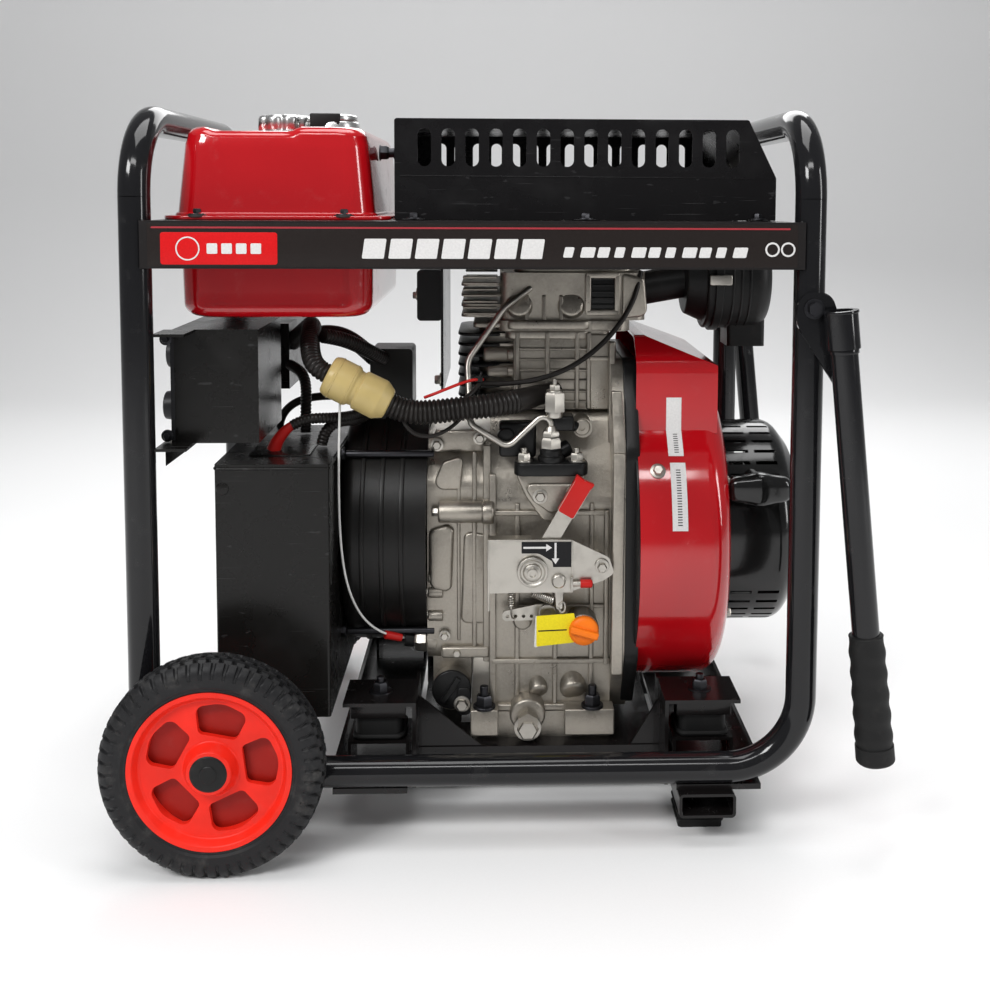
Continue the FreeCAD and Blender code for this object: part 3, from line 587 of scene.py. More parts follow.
def cast_alloy(name, colour, grain=0.5, metallic=0.85):
    """Sand-cast alloy: grainy skin, random dark patches of grime and painted shade, and a patchy sheen."""
    f = Finish(name, Metallic=metallic)
    patch = f.noise(32, 5.0, 0.6).between(0.3, 0.72)
    speck = f.noise(3.2, 4.0, 0.6).between(0.42, 0.7)
    # dark patches: partly grime, partly painted shade that deepens the castings' shadows
    grime = f.noise(11, 6.0, 0.7).between(0.58, 0.85)
    skin = f.mix(patch, tint(colour, 0.82), tint(colour, 1.08))
    f.set("Base Color", f.mix(grime * 0.6, f.mix(speck * 0.3, skin, tint(colour, 1.3)), tint(colour, 0.28)))
    f.set("Roughness", 0.27 + 0.16 * patch + 0.12 * speck)
    f.bump(f.noise(1.5, 5.0, 0.65) + 0.5 * f.noise(6.0, 3.0), grain, 0.45)
    return f.material


def bare_metal(name, colour, roughness=0.28, brushed=(1, 1, 1), stain=0.2):
    """Plated or machined steel, brushed along the direction whose number is small."""
    f = Finish(name, Metallic=1.0)
    lines = f.noise(1.6, 3.0, 0.6, f.stretched(*brushed))
    patch = f.noise(14, 4.0, 0.6).between(0.4, 0.8)
    f.set("Base Color", f.mix(patch * stain, colour, tint(colour, 0.5)))
    f.set("Roughness", roughness + 0.12 * lines + 0.12 * patch)
    f.bump(lines, 0.12, 0.12)
    return f.material


def chrome(name):
    """Bright plating with a faint haze in patches."""
    f = Finish(name, Metallic=1.0)
    haze = f.noise(18, 4.0, 0.6).between(0.45, 0.85)
    f.set("Base Color", f.mix(haze, (0.72, 0.72, 0.71, 1), (0.55, 0.55, 0.55, 1)))
    f.set("Roughness", 0.27 + 0.12 * haze)
    f.bump(f.noise(6.0, 2.0), 0.02, 0.05)
    return f.material


def heated_steel(name, colour):
    """Aluminised steel that heat has browned in places."""
    f = Finish(name, Metallic=0.9)
    heat = f.noise(70, 4.0, 0.6).between(0.42, 0.7)
    rust = f.noise(9, 6.0, 0.7).between(0.62, 0.8)
    f.set("Base Color", f.mix(rust * 0.5, f.mix(heat, colour, (0.36, 0.28, 0.20, 1)), (0.17, 0.08, 0.04, 1)))
    f.set("Roughness", 0.34 + 0.2 * heat + 0.2 * rust)
    f.bump(f.noise(1.2, 4.0), 0.25, 0.3)
    return f.material


def moulded(name, colour, roughness=0.45, grain=0.2, size=1.1, dusty=0.04):
    """Moulded rubber or plastic: a fine spark-eroded grain, with dust and a slow change of sheen."""
    f = Finish(name, Specular_IOR_Level=0.22)
    dust = f.noise(16, 6.0, 0.65).between(0.5, 0.85)
    tone = f.noise(55, 3.0).between(0.3, 0.7)
    f.set("Base Color", f.mix(dust * dusty, f.mix(tone, tint(colour, 0.9), tint(colour, 1.1)),
                              (0.38, 0.36, 0.33, 1)))
    f.set("Roughness", roughness + 0.14 * dust + 0.06 * tone)
    f.bump(f.cells(size) + 0.5 * f.noise(size * 0.6, 3.0), grain, 0.25)
    return f.material


def print_ink(name, colour, roughness=0.4):
    """Screen-printed foil: flat ink with a faint mottle."""
    f = Finish(name, Specular_IOR_Level=0.18)
    mottle = f.noise(2.0, 4.0, 0.6).between(0.35, 0.7)
    f.set("Base Color", f.mix(mottle, tint(colour, 0.94), tint(colour, 1.04)))
    f.set("Roughness", roughness + 0.08 * mottle)
    f.bump(f.noise(0.8, 2.0), 0.05, 0.1)
    return f.material


# ---- sizes and colours that a user would change -------------------------------------------
def colour_prop(name, description, default):
    """A colour that a user can change."""
    return FloatVectorProperty(name=name, description=description, default=default, subtype="COLOR",
                               size=3, min=0.0, max=1.0)


class WelderColours(bpy.types.PropertyGroup):
    frame_black: colour_prop("Frame black", "Enamel on the tube frame", (0.008, 0.008, 0.009))
    body_red: colour_prop("Body red", "Enamel on the tank and blower housing", (0.43, 0.004, 0.008))
    rim_red: colour_prop("Rim red", "Moulded wheel rims", (0.80, 0.022, 0.010))
    alloy: colour_prop("Casting alloy", "Bare engine castings", (0.37, 0.34, 0.295))
    signal_orange: colour_prop("Dipstick orange", "Moulded dipstick grip", (0.95, 0.20, 0.01))


class WelderSizes(bpy.types.PropertyGroup):
    tread_blocks: IntProperty(name="Tread blocks", description="Blocks in one row round a tyre", default=54,
                              min=20, max=90)
    tread_depth: FloatProperty(name="Tread depth", description="Depth of the tyre's grooves", default=0.0042,
                               min=0.0, max=0.01, unit="LENGTH")
    hose_pitch: FloatProperty(name="Hose pitch", description="Distance between a conduit's ribs",
                              default=0.005, min=0.003, max=0.01, unit="LENGTH")
    lens_length: FloatProperty(name="Lens", description="Camera focal length on a 36 mm wide sensor",
                               default=43.85, min=20.0, max=120.0)


def rgba(colour):
    """A colour with full alpha."""
    return tuple(colour) + (1.0,)


finishes = {}


def make_finishes():
    """Every material, by its slot's name or its own."""
    c = bpy.context.scene.welder_colours
    black, red, rim, alloy = rgba(c.frame_black), rgba(c.body_red), rgba(c.rim_red), rgba(c.alloy)
    finishes.update({
        "frame_black": gloss_paint("frame_enamel", black, 0.10, 0.05, 0.25, 0.22),
        "bar_charcoal": powder_coat("bar_enamel", (0.014, 0.012, 0.012, 1), 0.36, 0.14),
        "chassis_black": gloss_paint("chassis_enamel", (0.007, 0.006, 0.006, 1), 0.20, 0.16, 0.25, 0.12),
        "rubber_black": moulded("rubber", (0.010, 0.010, 0.010, 1), 0.55, 0.25, 1.4),
        "bolt_black": bare_metal("blackened_steel", (0.05, 0.05, 0.055, 1), 0.34, stain=0.4),
        "tyre_rubber": moulded("tyre_rubber", (0.013, 0.013, 0.014, 1), 0.46, 0.3, 1.6, 0.12),
        "rim_red": moulded("rim_plastic", rim, 0.34, 0.14, 1.2, 0.05),
        "tank_red": gloss_paint("body_enamel", red, 0.11, 0.07),
        "cap_chrome": chrome("cap_chrome"),
        "cover_black": scratched_sheet("cover_sheet", (0.006, 0.0055, 0.006, 1)),
        "exhaust_steel": heated_steel("exhaust_steel", (0.20, 0.185, 0.17, 1)),
        "engine_alloy": cast_alloy("engine_casting", alloy),
        "rocker_alloy": cast_alloy("rocker_casting", tint(alloy, 1.12), 0.35),
        "pump_black": powder_coat("pump_coating", (0.010, 0.010, 0.010, 1), 0.30, 0.35),
        "steel_zinc": bare_metal("zinc_plate", (0.50, 0.475, 0.43, 1), 0.28, (0.1, 1, 1)),
        "orange_plastic": moulded("orange_plastic", rgba(c.signal_orange), 0.38, 0.12, 1.0, 0.04),
        "recoil_plastic": gloss_paint("recoil_enamel", (0.006, 0.006, 0.006, 1), 0.14, 0.12, 0.35, 0.25),
        "iron_grey": bare_metal("turned_iron", (0.34, 0.33, 0.32, 1), 0.36, (1, 0.2, 1), 0.4),
        "alternator_black": powder_coat("alternator_coating", (0.009, 0.0085, 0.008, 1), 0.34, 0.4),
        "filter_plastic": moulded("filter_plastic", (0.009, 0.009, 0.009, 1), 0.42, 0.2, 1.2),
        "box_black": scratched_sheet("box_sheet", (0.007, 0.0065, 0.006, 1)),
        "panel_black": powder_coat("panel_coating", (0.020, 0.020, 0.022, 1), 0.4, 0.2),
        "knob_plastic": moulded("knob_plastic", (0.025, 0.025, 0.027, 1), 0.4, 0.15, 0.9),
        "key_metal": bare_metal("key_nickel", (0.62, 0.60, 0.55, 1), 0.24),
        "connector_cream": moulded("connector_nylon", (0.50, 0.385, 0.16, 1), 0.28, 0.08, 1.6, 0.16),
        "conduit_black": moulded("conduit_plastic", (0.016, 0.014, 0.013, 1), 0.30, 0.10, 1.2),
        "cast_rim": cast_alloy("bright_casting", tint(alloy, 1.18), 0.35),
        "red_sleeve": moulded("red_sleeve", (0.46, 0.012, 0.010, 1), 0.32, 0.06, 1.0, 0.04),
        "white_wire": moulded("white_wire", (0.66, 0.66, 0.64, 1), 0.4, 0.05, 1.0, 0.06),
        "badge_red": print_ink("badge_red", (0.60, 0.008, 0.010, 1), 0.3),
        "label_white": print_ink("label_white", (0.66, 0.65, 0.64, 1), 0.42),
        "pinstripe": print_ink("pinstripe", (0.34, 0.035, 0.045, 1), 0.4),
        # a darker red for the rim's web: painted shade in the wheel's pockets
        "rim_painted_shade": moulded("rim_painted_shade", tint(rim, 0.40), 0.40, 0.14, 1.2, 0.05),
        "label_black": print_ink("label_black", (0.010, 0.010, 0.011, 1), 0.34),
        "label_charcoal": print_ink("label_charcoal", (0.017, 0.013, 0.012, 1), 0.30),
        "tag_yellow": print_ink("tag_yellow", (0.80, 0.66, 0.015, 1), 0.38),
        "lens_clear": print_ink("gauge_face", (0.55, 0.56, 0.56, 1), 0.10),
    })


def dress_nodes():
    """Each CAD node takes the finish of its slot in the record."""
    for part in frame["record"]["subparts"]:
        materials = frame["nodes"][part["node"]].data.materials
        materials.clear()
        materials.append(finishes[part["material_slot"]])


# ---- camera, floor and lights ---------------------------------------------------------------
def camera_turn(pan, tilt, roll):
    """Looks along +Y, turned right by pan, then down by tilt, then rolled."""
    return (Matrix.Rotation(math.radians(-pan), 3, "Z") @ Matrix.Rotation(math.radians(90 - tilt), 3, "X")
            @ Matrix.Rotation(math.radians(roll), 3, "Z"))


def add_light(name, place, target, width, height, watts, colour=(1, 1, 1)):
    """An oblong area light at a place, turned to face a target."""
    light = bpy.data.lights.new(name, "AREA")
    light.shape = "RECTANGLE"
    light.size, light.size_y = width, height
    light.energy = watts
    light.color = colour
    lamp = bpy.data.objects.new(name, light)
    lamp.location = place
    lamp.rotation_euler = (Vector(target) - Vector(place)).to_track_quat("-Z", "Y").to_euler()
    bpy.context.scene.collection.objects.link(lamp)


class WELDER_OT_stage(bpy.types.Operator):
    """Pale floor, soft studio lights and the camera"""
    bl_idname = "welder.stage"
    bl_label = "Stage"

    def execute(self, context):
        scene = context.scene
        sizes = scene.welder_sizes
        world = bpy.data.worlds.new("studio")
        world.use_nodes = True
        world.node_tree.nodes["Background"].inputs["Color"].default_value = (0.93, 0.94, 0.96, 1)
        world.node_tree.nodes["Background"].inputs["Strength"].default_value = 0.22
        scene.world = world
        scene.view_settings.view_transform = "Standard"

        half, back, rise, bend = 6.0, 4.0, 5.0, 1.5
        sweep = fillet([(-5.0, 0.0), (back, 0.0), (back, rise)], bend, steps=24)
        places = np.array([[(x, y, z) for x in (-half, half)] for y, z in sweep])
        mesh = bpy.data.meshes.new("studio_floor")
        shape = grid(places)
        mesh.from_pydata(shape.points.tolist(), [], shape.faces[0].tolist())
        mesh.shade_smooth()
        paper = Finish("backdrop_paper")
        fibre = paper.noise(3.0, 4.0)
        paper.set("Base Color", paper.mix(fibre, (0.86, 0.86, 0.86, 1), (0.90, 0.90, 0.90, 1)))
        paper.set("Roughness", 0.7 + 0.1 * fibre)
        mesh.materials.append(paper.material)
        floor = bpy.data.objects.new("studio_floor", mesh)
        scene.collection.objects.link(floor)
        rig.stage(floor)

        middle = (0.0, 0.0, 0.4)
        add_light("key_light", (-1.7, -2.2, 2.3), middle, 1.1, 0.7, 56)
        add_light("fill_light", (2.5, -1.3, 1.2), middle, 0.4, 1.6, 22)
        add_light("top_light", (0.1, -0.1, 3.0), middle, 2.2, 1.4, 50)
        add_light("front_light", (-0.2, -2.6, 3.0), middle, 2.0, 0.4, 28)
        add_light("rear_light", (0.3, 2.4, 2.2), middle, 2.4, 1.4, 40)

        lens = bpy.data.cameras.new("camera")
        lens.sensor_width = 36.0
        lens.lens = sizes.lens_length
        lens.shift_x, lens.shift_y = -0.0452, -0.2070
        camera = bpy.data.objects.new("camera", lens)
        camera.location = Vector((23.1 * MM + middle_x, -1461.6 * MM, 686.6 * MM))
        camera.rotation_euler = camera_turn(1.969, 4.472, 0.231).to_euler()
        scene.collection.objects.link(camera)
        scene.camera = camera
        return {"FINISHED"}


class WELDER_OT_finishes(bpy.types.Operator):
    """Every finish, and the CAD nodes dressed in theirs"""
    bl_idname = "welder.finishes"
    bl_label = "Finishes"

    def execute(self, context):
        make_finishes()
        dress_nodes()
        return {"FINISHED"}


# ---- tube frame -----------------------------------------------------------------------------
POST_X, LOOP_Y, TUBE_R = 344.0, 230.0, 16.0
RAIL_Z, HOOP_Z = 82.0, 764.0
RAIL_BEND, HOOP_BEND = 78.0, 80.0
BEND_STEPS = 20


class WELDER_OT_tube_frame(bpy.types.Operator):
    """The two bent loops and the two hoops, in one run of bright enamel"""
    bl_idname = "welder.tube_frame"
    bl_label = "Tube frame"

    def execute(self, context):
        top = HOOP_Z - HOOP_BEND
        loop = fillet([(-POST_X, -LOOP_Y, top), (-POST_X, -LOOP_Y, RAIL_Z), (POST_X, -LOOP_Y, RAIL_Z),
                          (POST_X, -LOOP_Y, top)], RAIL_BEND, steps=BEND_STEPS)
        make_pair("loop_tube_", tube(loop, TUBE_R, 48), "frame_black", replaces="frame_loop_")
        for name, x in (("left", -POST_X), ("right", POST_X)):
            hoop = fillet([(x, -LOOP_Y, top), (x, -LOOP_Y, HOOP_Z), (x, LOOP_Y, HOOP_Z), (x, LOOP_Y, top)],
                          HOOP_BEND, steps=BEND_STEPS)
            make_piece("hoop_tube_" + name, tube(hoop, TUBE_R, 48), "frame_black",
                       replaces=["frame_hoop_" + name])
        bar_low, bar_high = span("name_bar_front")
        beads = []
        for side in (-1, 1):
            for z in (bar_low[2] + 6, bar_high[2] - 6):
                turns = np.linspace(0, 1, 24)
                wobble = 1.9 * (1 + 0.2 * np.cos(turns * 34))
                path = np.stack([side * (POST_X - TUBE_R * 0.72) + 0 * turns, -LOOP_Y - TUBE_R * 0.72 + 0
                                 * turns, z - 7 + 14 * turns], -1)
                beads.append(tube(path, wobble, 10))
        make_pair("bar_welds_", together(beads), "frame_black")
        return {"FINISHED"}


# ---- name bars ------------------------------------------------------------------------------
def slanted(x0, x1, z0, z1, lean, y0, y1):
    """A flat slanted block of print."""
    return prism([(x0, z0, 1.2), (x1, z0, 1.2), (x1 + lean, z1, 1.2), (x0 + lean, z1, 1.2)], "y", y0, y1,
                 0.0, 3)


class WELDER_OT_name_bars(bpy.types.Operator):
    """Foil on the bars: a dark ground, a red line, a red badge and plain white blocks in place of words"""
    bl_idname = "welder.name_bars"
    bl_label = "Name bars"

    def execute(self, context):
        low, high = span("name_bar_front")
        face, middle = low[1], (low[2] + high[2]) / 2
        foil, raised = face - 0.35, face - 0.75
        x0, x1 = low[0] + 8, high[0] - 8
        ground = prism(corners_of(x0, x1, low[2] + 2.2, high[2] - 2.2, 2.0), "y", foil, face + 0.1, 0.1, 3)
        line = prism(corners_of(x0 + 4, x1 - 8, high[2] - 7.6, high[2] - 5.8, 0.8), "y", raised, foil + 0.05,
                     0.0, 2)
        badge = prism(corners_of(-314, -198, low[2] + 4.2, high[2] - 11.5, 2.6), "y", raised, foil + 0.05,
                      0.2, 4)
        ring = lathe([(10.6, 0, 0), (12.0, 0, 0), (12.0, 0.5, 0.2), (10.6, 0.5, 0.2)],
                     (-287, raised + 0.1, middle - 3.8), FORWARD, 40, 2)
        print_top, print_low = middle + 6.5, middle - 13.5
        marks = [ring]
        for k in range(4):
            marks.append(slanted(-268 + 14.5 * k, -257.5 + 14.5 * k, middle - 9, middle + 1.5, 0,
                                 raised - 0.4, raised + 0.1))
        for k in range(7):
            marks.append(slanted(-114 + 26.5 * k, -92 + 26.5 * k, print_low, print_top, 3, raised,
                                 foil + 0.05))
        for k in range(11):
            wide = (9.5, 14.0, 11.5)[k % 3]
            marks.append(slanted(88 + 17.2 * k, 88 + wide + 17.2 * k, print_low + 1.5, print_low + 12, 2.5,
                                 raised, foil + 0.05))
        for x in (301, 317):
            marks.append(flat_ring(5.6, 7.4, 0.4, 0, (x, raised + 0.4, middle - 3.5), FORWARD, 32, 2))
        front = {"bar_foil": (ground, "label_charcoal"), "bar_line": (line, "pinstripe"),
                 "bar_badge": (badge, "badge_red"), "bar_print": (together(marks), "label_white")}
        for name, (shape, finish) in front.items():
            make_piece(name + "_front", shape, "bar_charcoal", finish)
            make_piece(name + "_rear", shape.turned(180, "Z"), "bar_charcoal", finish)
        return {"FINISHED"}


# ---- fuel tank ------------------------------------------------------------------------------
TANK = (-315.0, -108.0, -197.0, 160.0)
TANK_LOW, TANK_SEAM, TANK_TOP = 557.0, 664.0, 758.0
TANK_CORNER = 26.0


def rounded_ring(x0, x1, y0, y1, radius, each=22):
    """A rounded rectangle whose arcs of one radius are joined by runs of so many even points each."""
    corners = [(x1 - radius, y0 + radius, -90), (x1 - radius, y1 - radius, 0),
               (x0 + radius, y1 - radius, 90), (x0 + radius, y0 + radius, 180)]
    parts = []
    for k, (cx, cy, start) in enumerate(corners):
        a = np.radians(np.linspace(start, start + 90, 11))
        arc = np.stack([cx + radius * np.cos(a), cy + radius * np.sin(a)], -1)
        nx, ny, begin = corners[(k + 1) % 4]
        b = math.radians(begin)
        ahead = np.array([nx + radius * math.cos(b), ny + radius * math.sin(b)])
        t = np.linspace(0, 1, each + 2)[1:-1, None]
        parts += [arc, arc[-1] + (ahead - arc[-1]) * t]
    return np.vstack(parts)


def soft_step(value, low, high):
    """0 below low, 1 above high and t * t * (3 - 2 t) between, where t rises evenly."""
    t = np.clip((value - low) / (high - low), 0, 1)
    return t * t * (3 - 2 * t)


def pressed_half(levels, insets, radii, panel):
    """A pressed shell: at each level a rounded rectangle drawn in by its inset, with the front and rear
    faces pressed in by a panel whose edge rises smoothly."""
    x0, x1, y0, y1 = TANK
    rings = []
    for z, inset, radius in zip(levels, insets, radii):
        flat = rounded_ring(x0 + inset, x1 - inset, y0 + inset, y1 - inset, radius)
        rings.append(np.column_stack([flat, np.full(len(flat), z)]))
    places = np.array(rings)
    depth, panel_low, panel_high, edge = panel
    x, y, z = places[..., 0], places[..., 1], places[..., 2]
    sideways = soft_step(x, x0 + 24, x0 + 24 + edge) * (1 - soft_step(x, x1 - 24 - edge, x1 - 24))
    upright = soft_step(z, panel_low, panel_low + edge) * (1 - soft_step(z, panel_high - edge, panel_high))
    front = 1 - soft_step(y, y0 + 14, y0 + 24)
    rear = soft_step(y, y1 - 24, y1 - 14)
    places[..., 1] = y + depth * sideways * upright * (front - rear)
    return grid(places, close_columns=True, caps=True)


class WELDER_OT_fuel_tank(bpy.types.Operator):
    """Two pressed halves with a rolled flange, the lobed cap, the gauge and the hose fitting"""
    bl_idname = "welder.fuel_tank"
    bl_label = "Fuel tank"

    def execute(self, context):
        a = np.radians(np.linspace(0, 90, 12))
        shoulder, rise = 12.0, TANK_TOP - TANK_SEAM
        wall_z = np.linspace(TANK_SEAM, TANK_TOP - shoulder, 14)[:-1]
        wall_in = 9.0 * (wall_z - TANK_SEAM) / rise
        top_z = np.concatenate([wall_z, TANK_TOP - shoulder + shoulder * np.sin(a), [TANK_TOP] * 3])
        top_in = np.concatenate([wall_in, 9.0 + shoulder * (1 - np.cos(a)),
                                 9.0 + shoulder + np.array([8, 20, 34])])
        upper = pressed_half(top_z, top_in, np.full(len(top_z), TANK_CORNER), (0.0, 670, 745, 6.0))
        x, y = upper.points[:, 0], upper.points[:, 1]
        lifted = upper.points[:, 2] > TANK_TOP - shoulder
        step = 4.5 * (1 - soft_step(x, -196, -184)) * (1 - soft_step(y, 60, 90))
        edge = soft_step(x, TANK[0] + 28, TANK[0] + 42)
        upper.points[:, 2] -= np.where(lifted, step * edge, 0)

        low_shoulder, pull = 15.0, 4.0
        low_z = np.concatenate([[TANK_LOW] * 3, TANK_LOW + low_shoulder * (1 - np.cos(a)),
                                np.linspace(TANK_LOW + low_shoulder, TANK_SEAM, 16)[1:]])
        low_in = np.concatenate([low_shoulder + pull + np.array([34, 20, 8]),
                                 pull + low_shoulder * (1 - np.sin(a)), np.linspace(pull, 2.0, 16)[1:]])
        lower = pressed_half(low_z, low_in, np.full(len(low_z), TANK_CORNER), (3.2, TANK_LOW + 10, 668, 7.0))
        flange = prism(corners_of(-327, -89, -205, 170, TANK_CORNER), "z", 660.6, TANK_SEAM + 0.8, 1.2, 8)
        bead = tube(np.column_stack([rounded_ring(*TANK, TANK_CORNER), np.full(132, TANK_SEAM + 1.5)]), 2.6,
                    10, closed=True)
        make_piece("tank_shell", upper + lower + flange + bead, "tank_red", replaces=["fuel_tank"])

        collar = lathe([(20, 0, 0), (27, 0, 2), (25, 5, 1), (20, 5, 0)], (-221, -60, TANK_TOP - 1.5), UP, 48)
        plate_ring = disc_of(33, 1.2, 0.5, (-221, -60, TANK_TOP - 3.6), UP, 48)
        make_piece("filler_neck", collar + plate_ring, "cap_chrome")
        self.cap()
        self.gauge()
        self.fittings()
        return {"FINISHED"}

    def cap(self):
        """Lobed cap: its radius falls in eight smooth hollows, and its crown is domed."""
        low, high = span("fuel_cap")
        middle = (low + high) / 2
        top, bottom, reach = high[2], low[2], (high[0] - low[0]) / 2
        turn = np.linspace(0, 2 * math.pi, 193)[:-1]
        hollow = (0.5 + 0.5 * np.cos(8 * turn)) ** 2
        rows = []
        for part, z in ((0.0, bottom + 1), (0.93, bottom + 1), (1.0, bottom + 3), (1.0, top - 6),
                        (0.97, top - 3.4), (0.90, top - 2.0), (0.86, top - 2.4), (0.70, top - 1.2),
                        (0.35, top - 0.3), (0.0, top)):
            r = reach * part * (1 - 0.15 * hollow * (part > 0.8))
            rows.append(np.stack([middle[0] + r * np.cos(turn), middle[1] + r * np.sin(turn),
                                  0 * turn + z], -1))
        make_piece("cap_shell", grid(np.array(rows), close_columns=True), "cap_chrome", body="fuel_cap",
                   replaces=["fuel_cap"], sharp=50)

    def gauge(self):
        """The fuel gauge: a rolled rim on a base, a square block and a domed dial."""
        x, y, z = -163.0, -70.0, 770.0
        rim = lathe([(17, 0, 0), (25.5, 0, 1), (25.5, 6, 2.5), (19, 7.5, 1), (17, 5, 0)], (x, y, z), UP, 56)
        block = prism(corners_of(x - 25, x + 9, y - 27, y + 8, 3), "z", z - 13, z + 7.6, 1.6, 4)
        base = lathe([(0, 0, 0), (29, 0, 1), (27, 11, 2), (0, 11, 0)], (x, y, z - 12), UP, 56)
        make_piece("gauge_rim", rim + base, "cap_chrome")
        make_piece("gauge_block", block, "rubber_black", "filter_plastic")
        dial = lathe([(0, 0, 0), (17.5, 0, 0), (17.5, 5, 0), (0, 5.4, 0)], (x, y, z), UP, 40)
        make_piece("gauge_dial", dial, "cap_chrome", "lens_clear")

    def fittings(self):
        """Flange bolts on rubber pads, and the breather's nut and hose."""
        washers, heads = [], []
        for x in (-289.5, -213.0, -137.7):
            for y in (-201.5, 166.5):
                if x == -213.0 and y < 0:
                    continue
                heads.append(bolt((x, y + (6 if y < 0 else -6), TANK_SEAM + 1.6), UP, 8, 5, 9))
                washers.append(lathe([(0, 0, 0), (12, 0, 0), (11, 2.4, 0.8), (0, 2.4, 0)],
                                     (x, y + (6 if y < 0 else -6), TANK_SEAM - 0.4), UP, 28, 2))
        make_piece("tank_bolts", heads, "bolt_black")
        make_piece("tank_bolt_pads", washers, "rubber_black")
        start = np.array((-113.0, -66.0, 735.0))
        nut = bolt(start, RIGHT, 15, 9, 9)
        spigot = rod(start + (9, 0, 0), start + (17, 0, 0), 5.5)
        hose = tube(spline([start + (12, 0, 0), start + (20, 1, 0), start + (24, 6, -14),
                            start + (22, 10, -50)]), 5.2, 20)
        make_piece("breather_nut", nut + spigot, "bolt_black")
        make_piece("breather_hose", hose, "rubber_black")


# ---- slotted cover --------------------------------------------------------------------------
class WELDER_OT_cover_bolts(bpy.types.Operator):
    """Flange bolts and the pressed crease of the slotted cover"""
    bl_idname = "welder.cover_bolts"
    bl_label = "Cover bolts"

    def execute(self, context):
        low, high = span("slotted_cover")
        heads, feet = [], []
        for x in (-65.7, 114.4, 297.3):
            for side in (-1, 1):
                y = side * (high[1] + 4.5)
                heads.append(bolt((x, y, low[2] + 1.2), UP, 8, 5, 8.5))
                feet.append(slab(x - 12, x + 12, *sorted((side * high[1], side * (high[1] + 12))),
                                 low[2] - 0.4, low[2] + 1.2, 0.5))
        make_piece("cover_flange_bolts", heads, "bolt_black")
        crease = [prism([(low[0] + 6, 706.4, 0.5), (high[0] - 2, 704.9, 0.5), (high[0] - 2, 706.1, 0.5),
                         (low[0] + 6, 707.6, 0.5)], "y", *sorted((side * (high[1] - 0.4),
                        side * (high[1] + 0.5))), 0.3, 2) for side in (-1, 1)]
        make_piece("cover_tabs", feet + crease, "cover_black")
        return {"FINISHED"}


# ---- battery and control boxes --------------------------------------------------------------
class WELDER_OT_boxes(bpy.types.Operator):
    """Lid lip, rivets, terminal boot and leads of the boxes, and the panel's dress"""
    bl_idname = "welder.boxes"
    bl_label = "Boxes"

    def execute(self, context):
        low, high = span("battery_box")
        lid_low, lid_high = span("battery_lid")
        lip = tube(np.column_stack([rounded_ring(low[0], high[0], low[1], high[1], 4),
                                    np.full(132, lid_low[2] + 0.5)]), 1.6, 8, True)
        stud = lathe([(0, 0, 0), (7, 0, 0), (6.2, 1.4, 0.5), (0, 1.4, 0)], (low[0] + 8.5, low[1] + 0.2, 377),
                     FORWARD, 28, 2)
        handle_pad = prism(corners_of(low[0] + 26, high[0] - 26, low[1] + 40, low[1] + 170, 8), "z",
                           lid_high[2] - 0.3, lid_high[2] + 1.2, 0.8, 6)
        make_piece("battery_trim", lip + stud + handle_pad, "box_black")
        lid_z = lid_high[2]
        boot = tube(spline([(-226, -132, lid_z + 1), (-222, -132, lid_z + 12), (-212, -130, lid_z + 24),
                            (-203, -128, lid_z + 30)], 8), np.linspace(8.0, 4.6, 25), 18)
        make_piece("terminal_boot", boot, "conduit_black", "red_sleeve")
        leads = [ribbed_hose([(-206, -129, lid_z + 28), (-190, -126, lid_z + 36), (-164, -118, lid_z + 34),
                              (-138, -80, lid_z + 30), (-128, -30, lid_z + 32)], 6.0, 4.0),
                 ribbed_hose([(-176, -110, lid_z + 3), (-172, -110, lid_z + 20), (-156, -104, lid_z + 30),
                              (-140, -70, lid_z + 22), (-130, -30, lid_z + 24)], 6.5, 4.0),
                 ribbed_hose([(-205, -40, lid_z + 3), (-205, -38, lid_z + 34), (-206, -20, lid_z + 70),
                              (-232, 14, lid_z + 76)], 6.5, 4.0)]
        make_piece("battery_leads", leads, "conduit_black")

        rivets = []
        for side, z0, z1 in ((-1, 434, 536), (1, 458, 522)):
            for z in (z0, z1):
                rivets.append(bolt((-323.5, side * 199.5, z), (0, side, 0), 7, 4, 6.5))
        make_piece("bracket_bolts", rivets, "bolt_black")
        self.panel()
        return {"FINISHED"}

    def panel(self):
        """The panel's sheet, ticks round the knob, the display's glass, screws and socket contacts."""
        face = -322.0
        sheet = prism(corners_of(-186, 186, 427, 541, 4), "x", face - 0.6, face + 0.1, 0.3, 3)
        make_piece("panel_sheet", sheet, "panel_black")
        marks = []
        for y in (-150, -104):
            marks.append(print_block(y - 9, y + 9, 434, 438, face - 1.0, face - 0.4))
        for k in range(11):
            turn = math.radians(-135 + 27 * k)
            y, z = -127 - 24 * math.sin(turn), 512 + 24 * math.cos(turn)
            marks.append(disc_of(1.3, 0.5, 0, (face - 0.5, y, z), LEFT, 12, 1))
        marks += [print_block(-92, -40, 440, 442, face - 1.0, face - 0.4),
                  print_block(150, 184, 512, 514, face - 1.0, face - 0.4)]
        make_piece("panel_marks", marks, "panel_black", "label_white")
        glass = prism(corners_of(-36, 18, 503, 529, 1.5), "x", face - 4.7, face - 3.9, 0.2, 2)
        make_piece("display_glass", glass, "panel_black", "label_black")
        screws = [socket_screw((face - 0.4, y, z), LEFT, 4.2, 3) for y in (-180, 180) for z in (432, 536)]
        make_piece("panel_screws", screws, "panel_black", "steel_zinc")
        pins = []
        for socket_y in (60, 122):
            for k in range(3):
                turn = math.radians(90 + 120 * k)
                y, z = socket_y + 11 * math.cos(turn), 478 + 11 * math.sin(turn)
                pins.append(prism(corners_of(y - 2, y + 2, z - 4, z + 4, 0.8), "x", face - 3.4, face - 2.6,
                                  0.2, 2))
        make_piece("socket_contacts", pins, "panel_black", "steel_zinc")


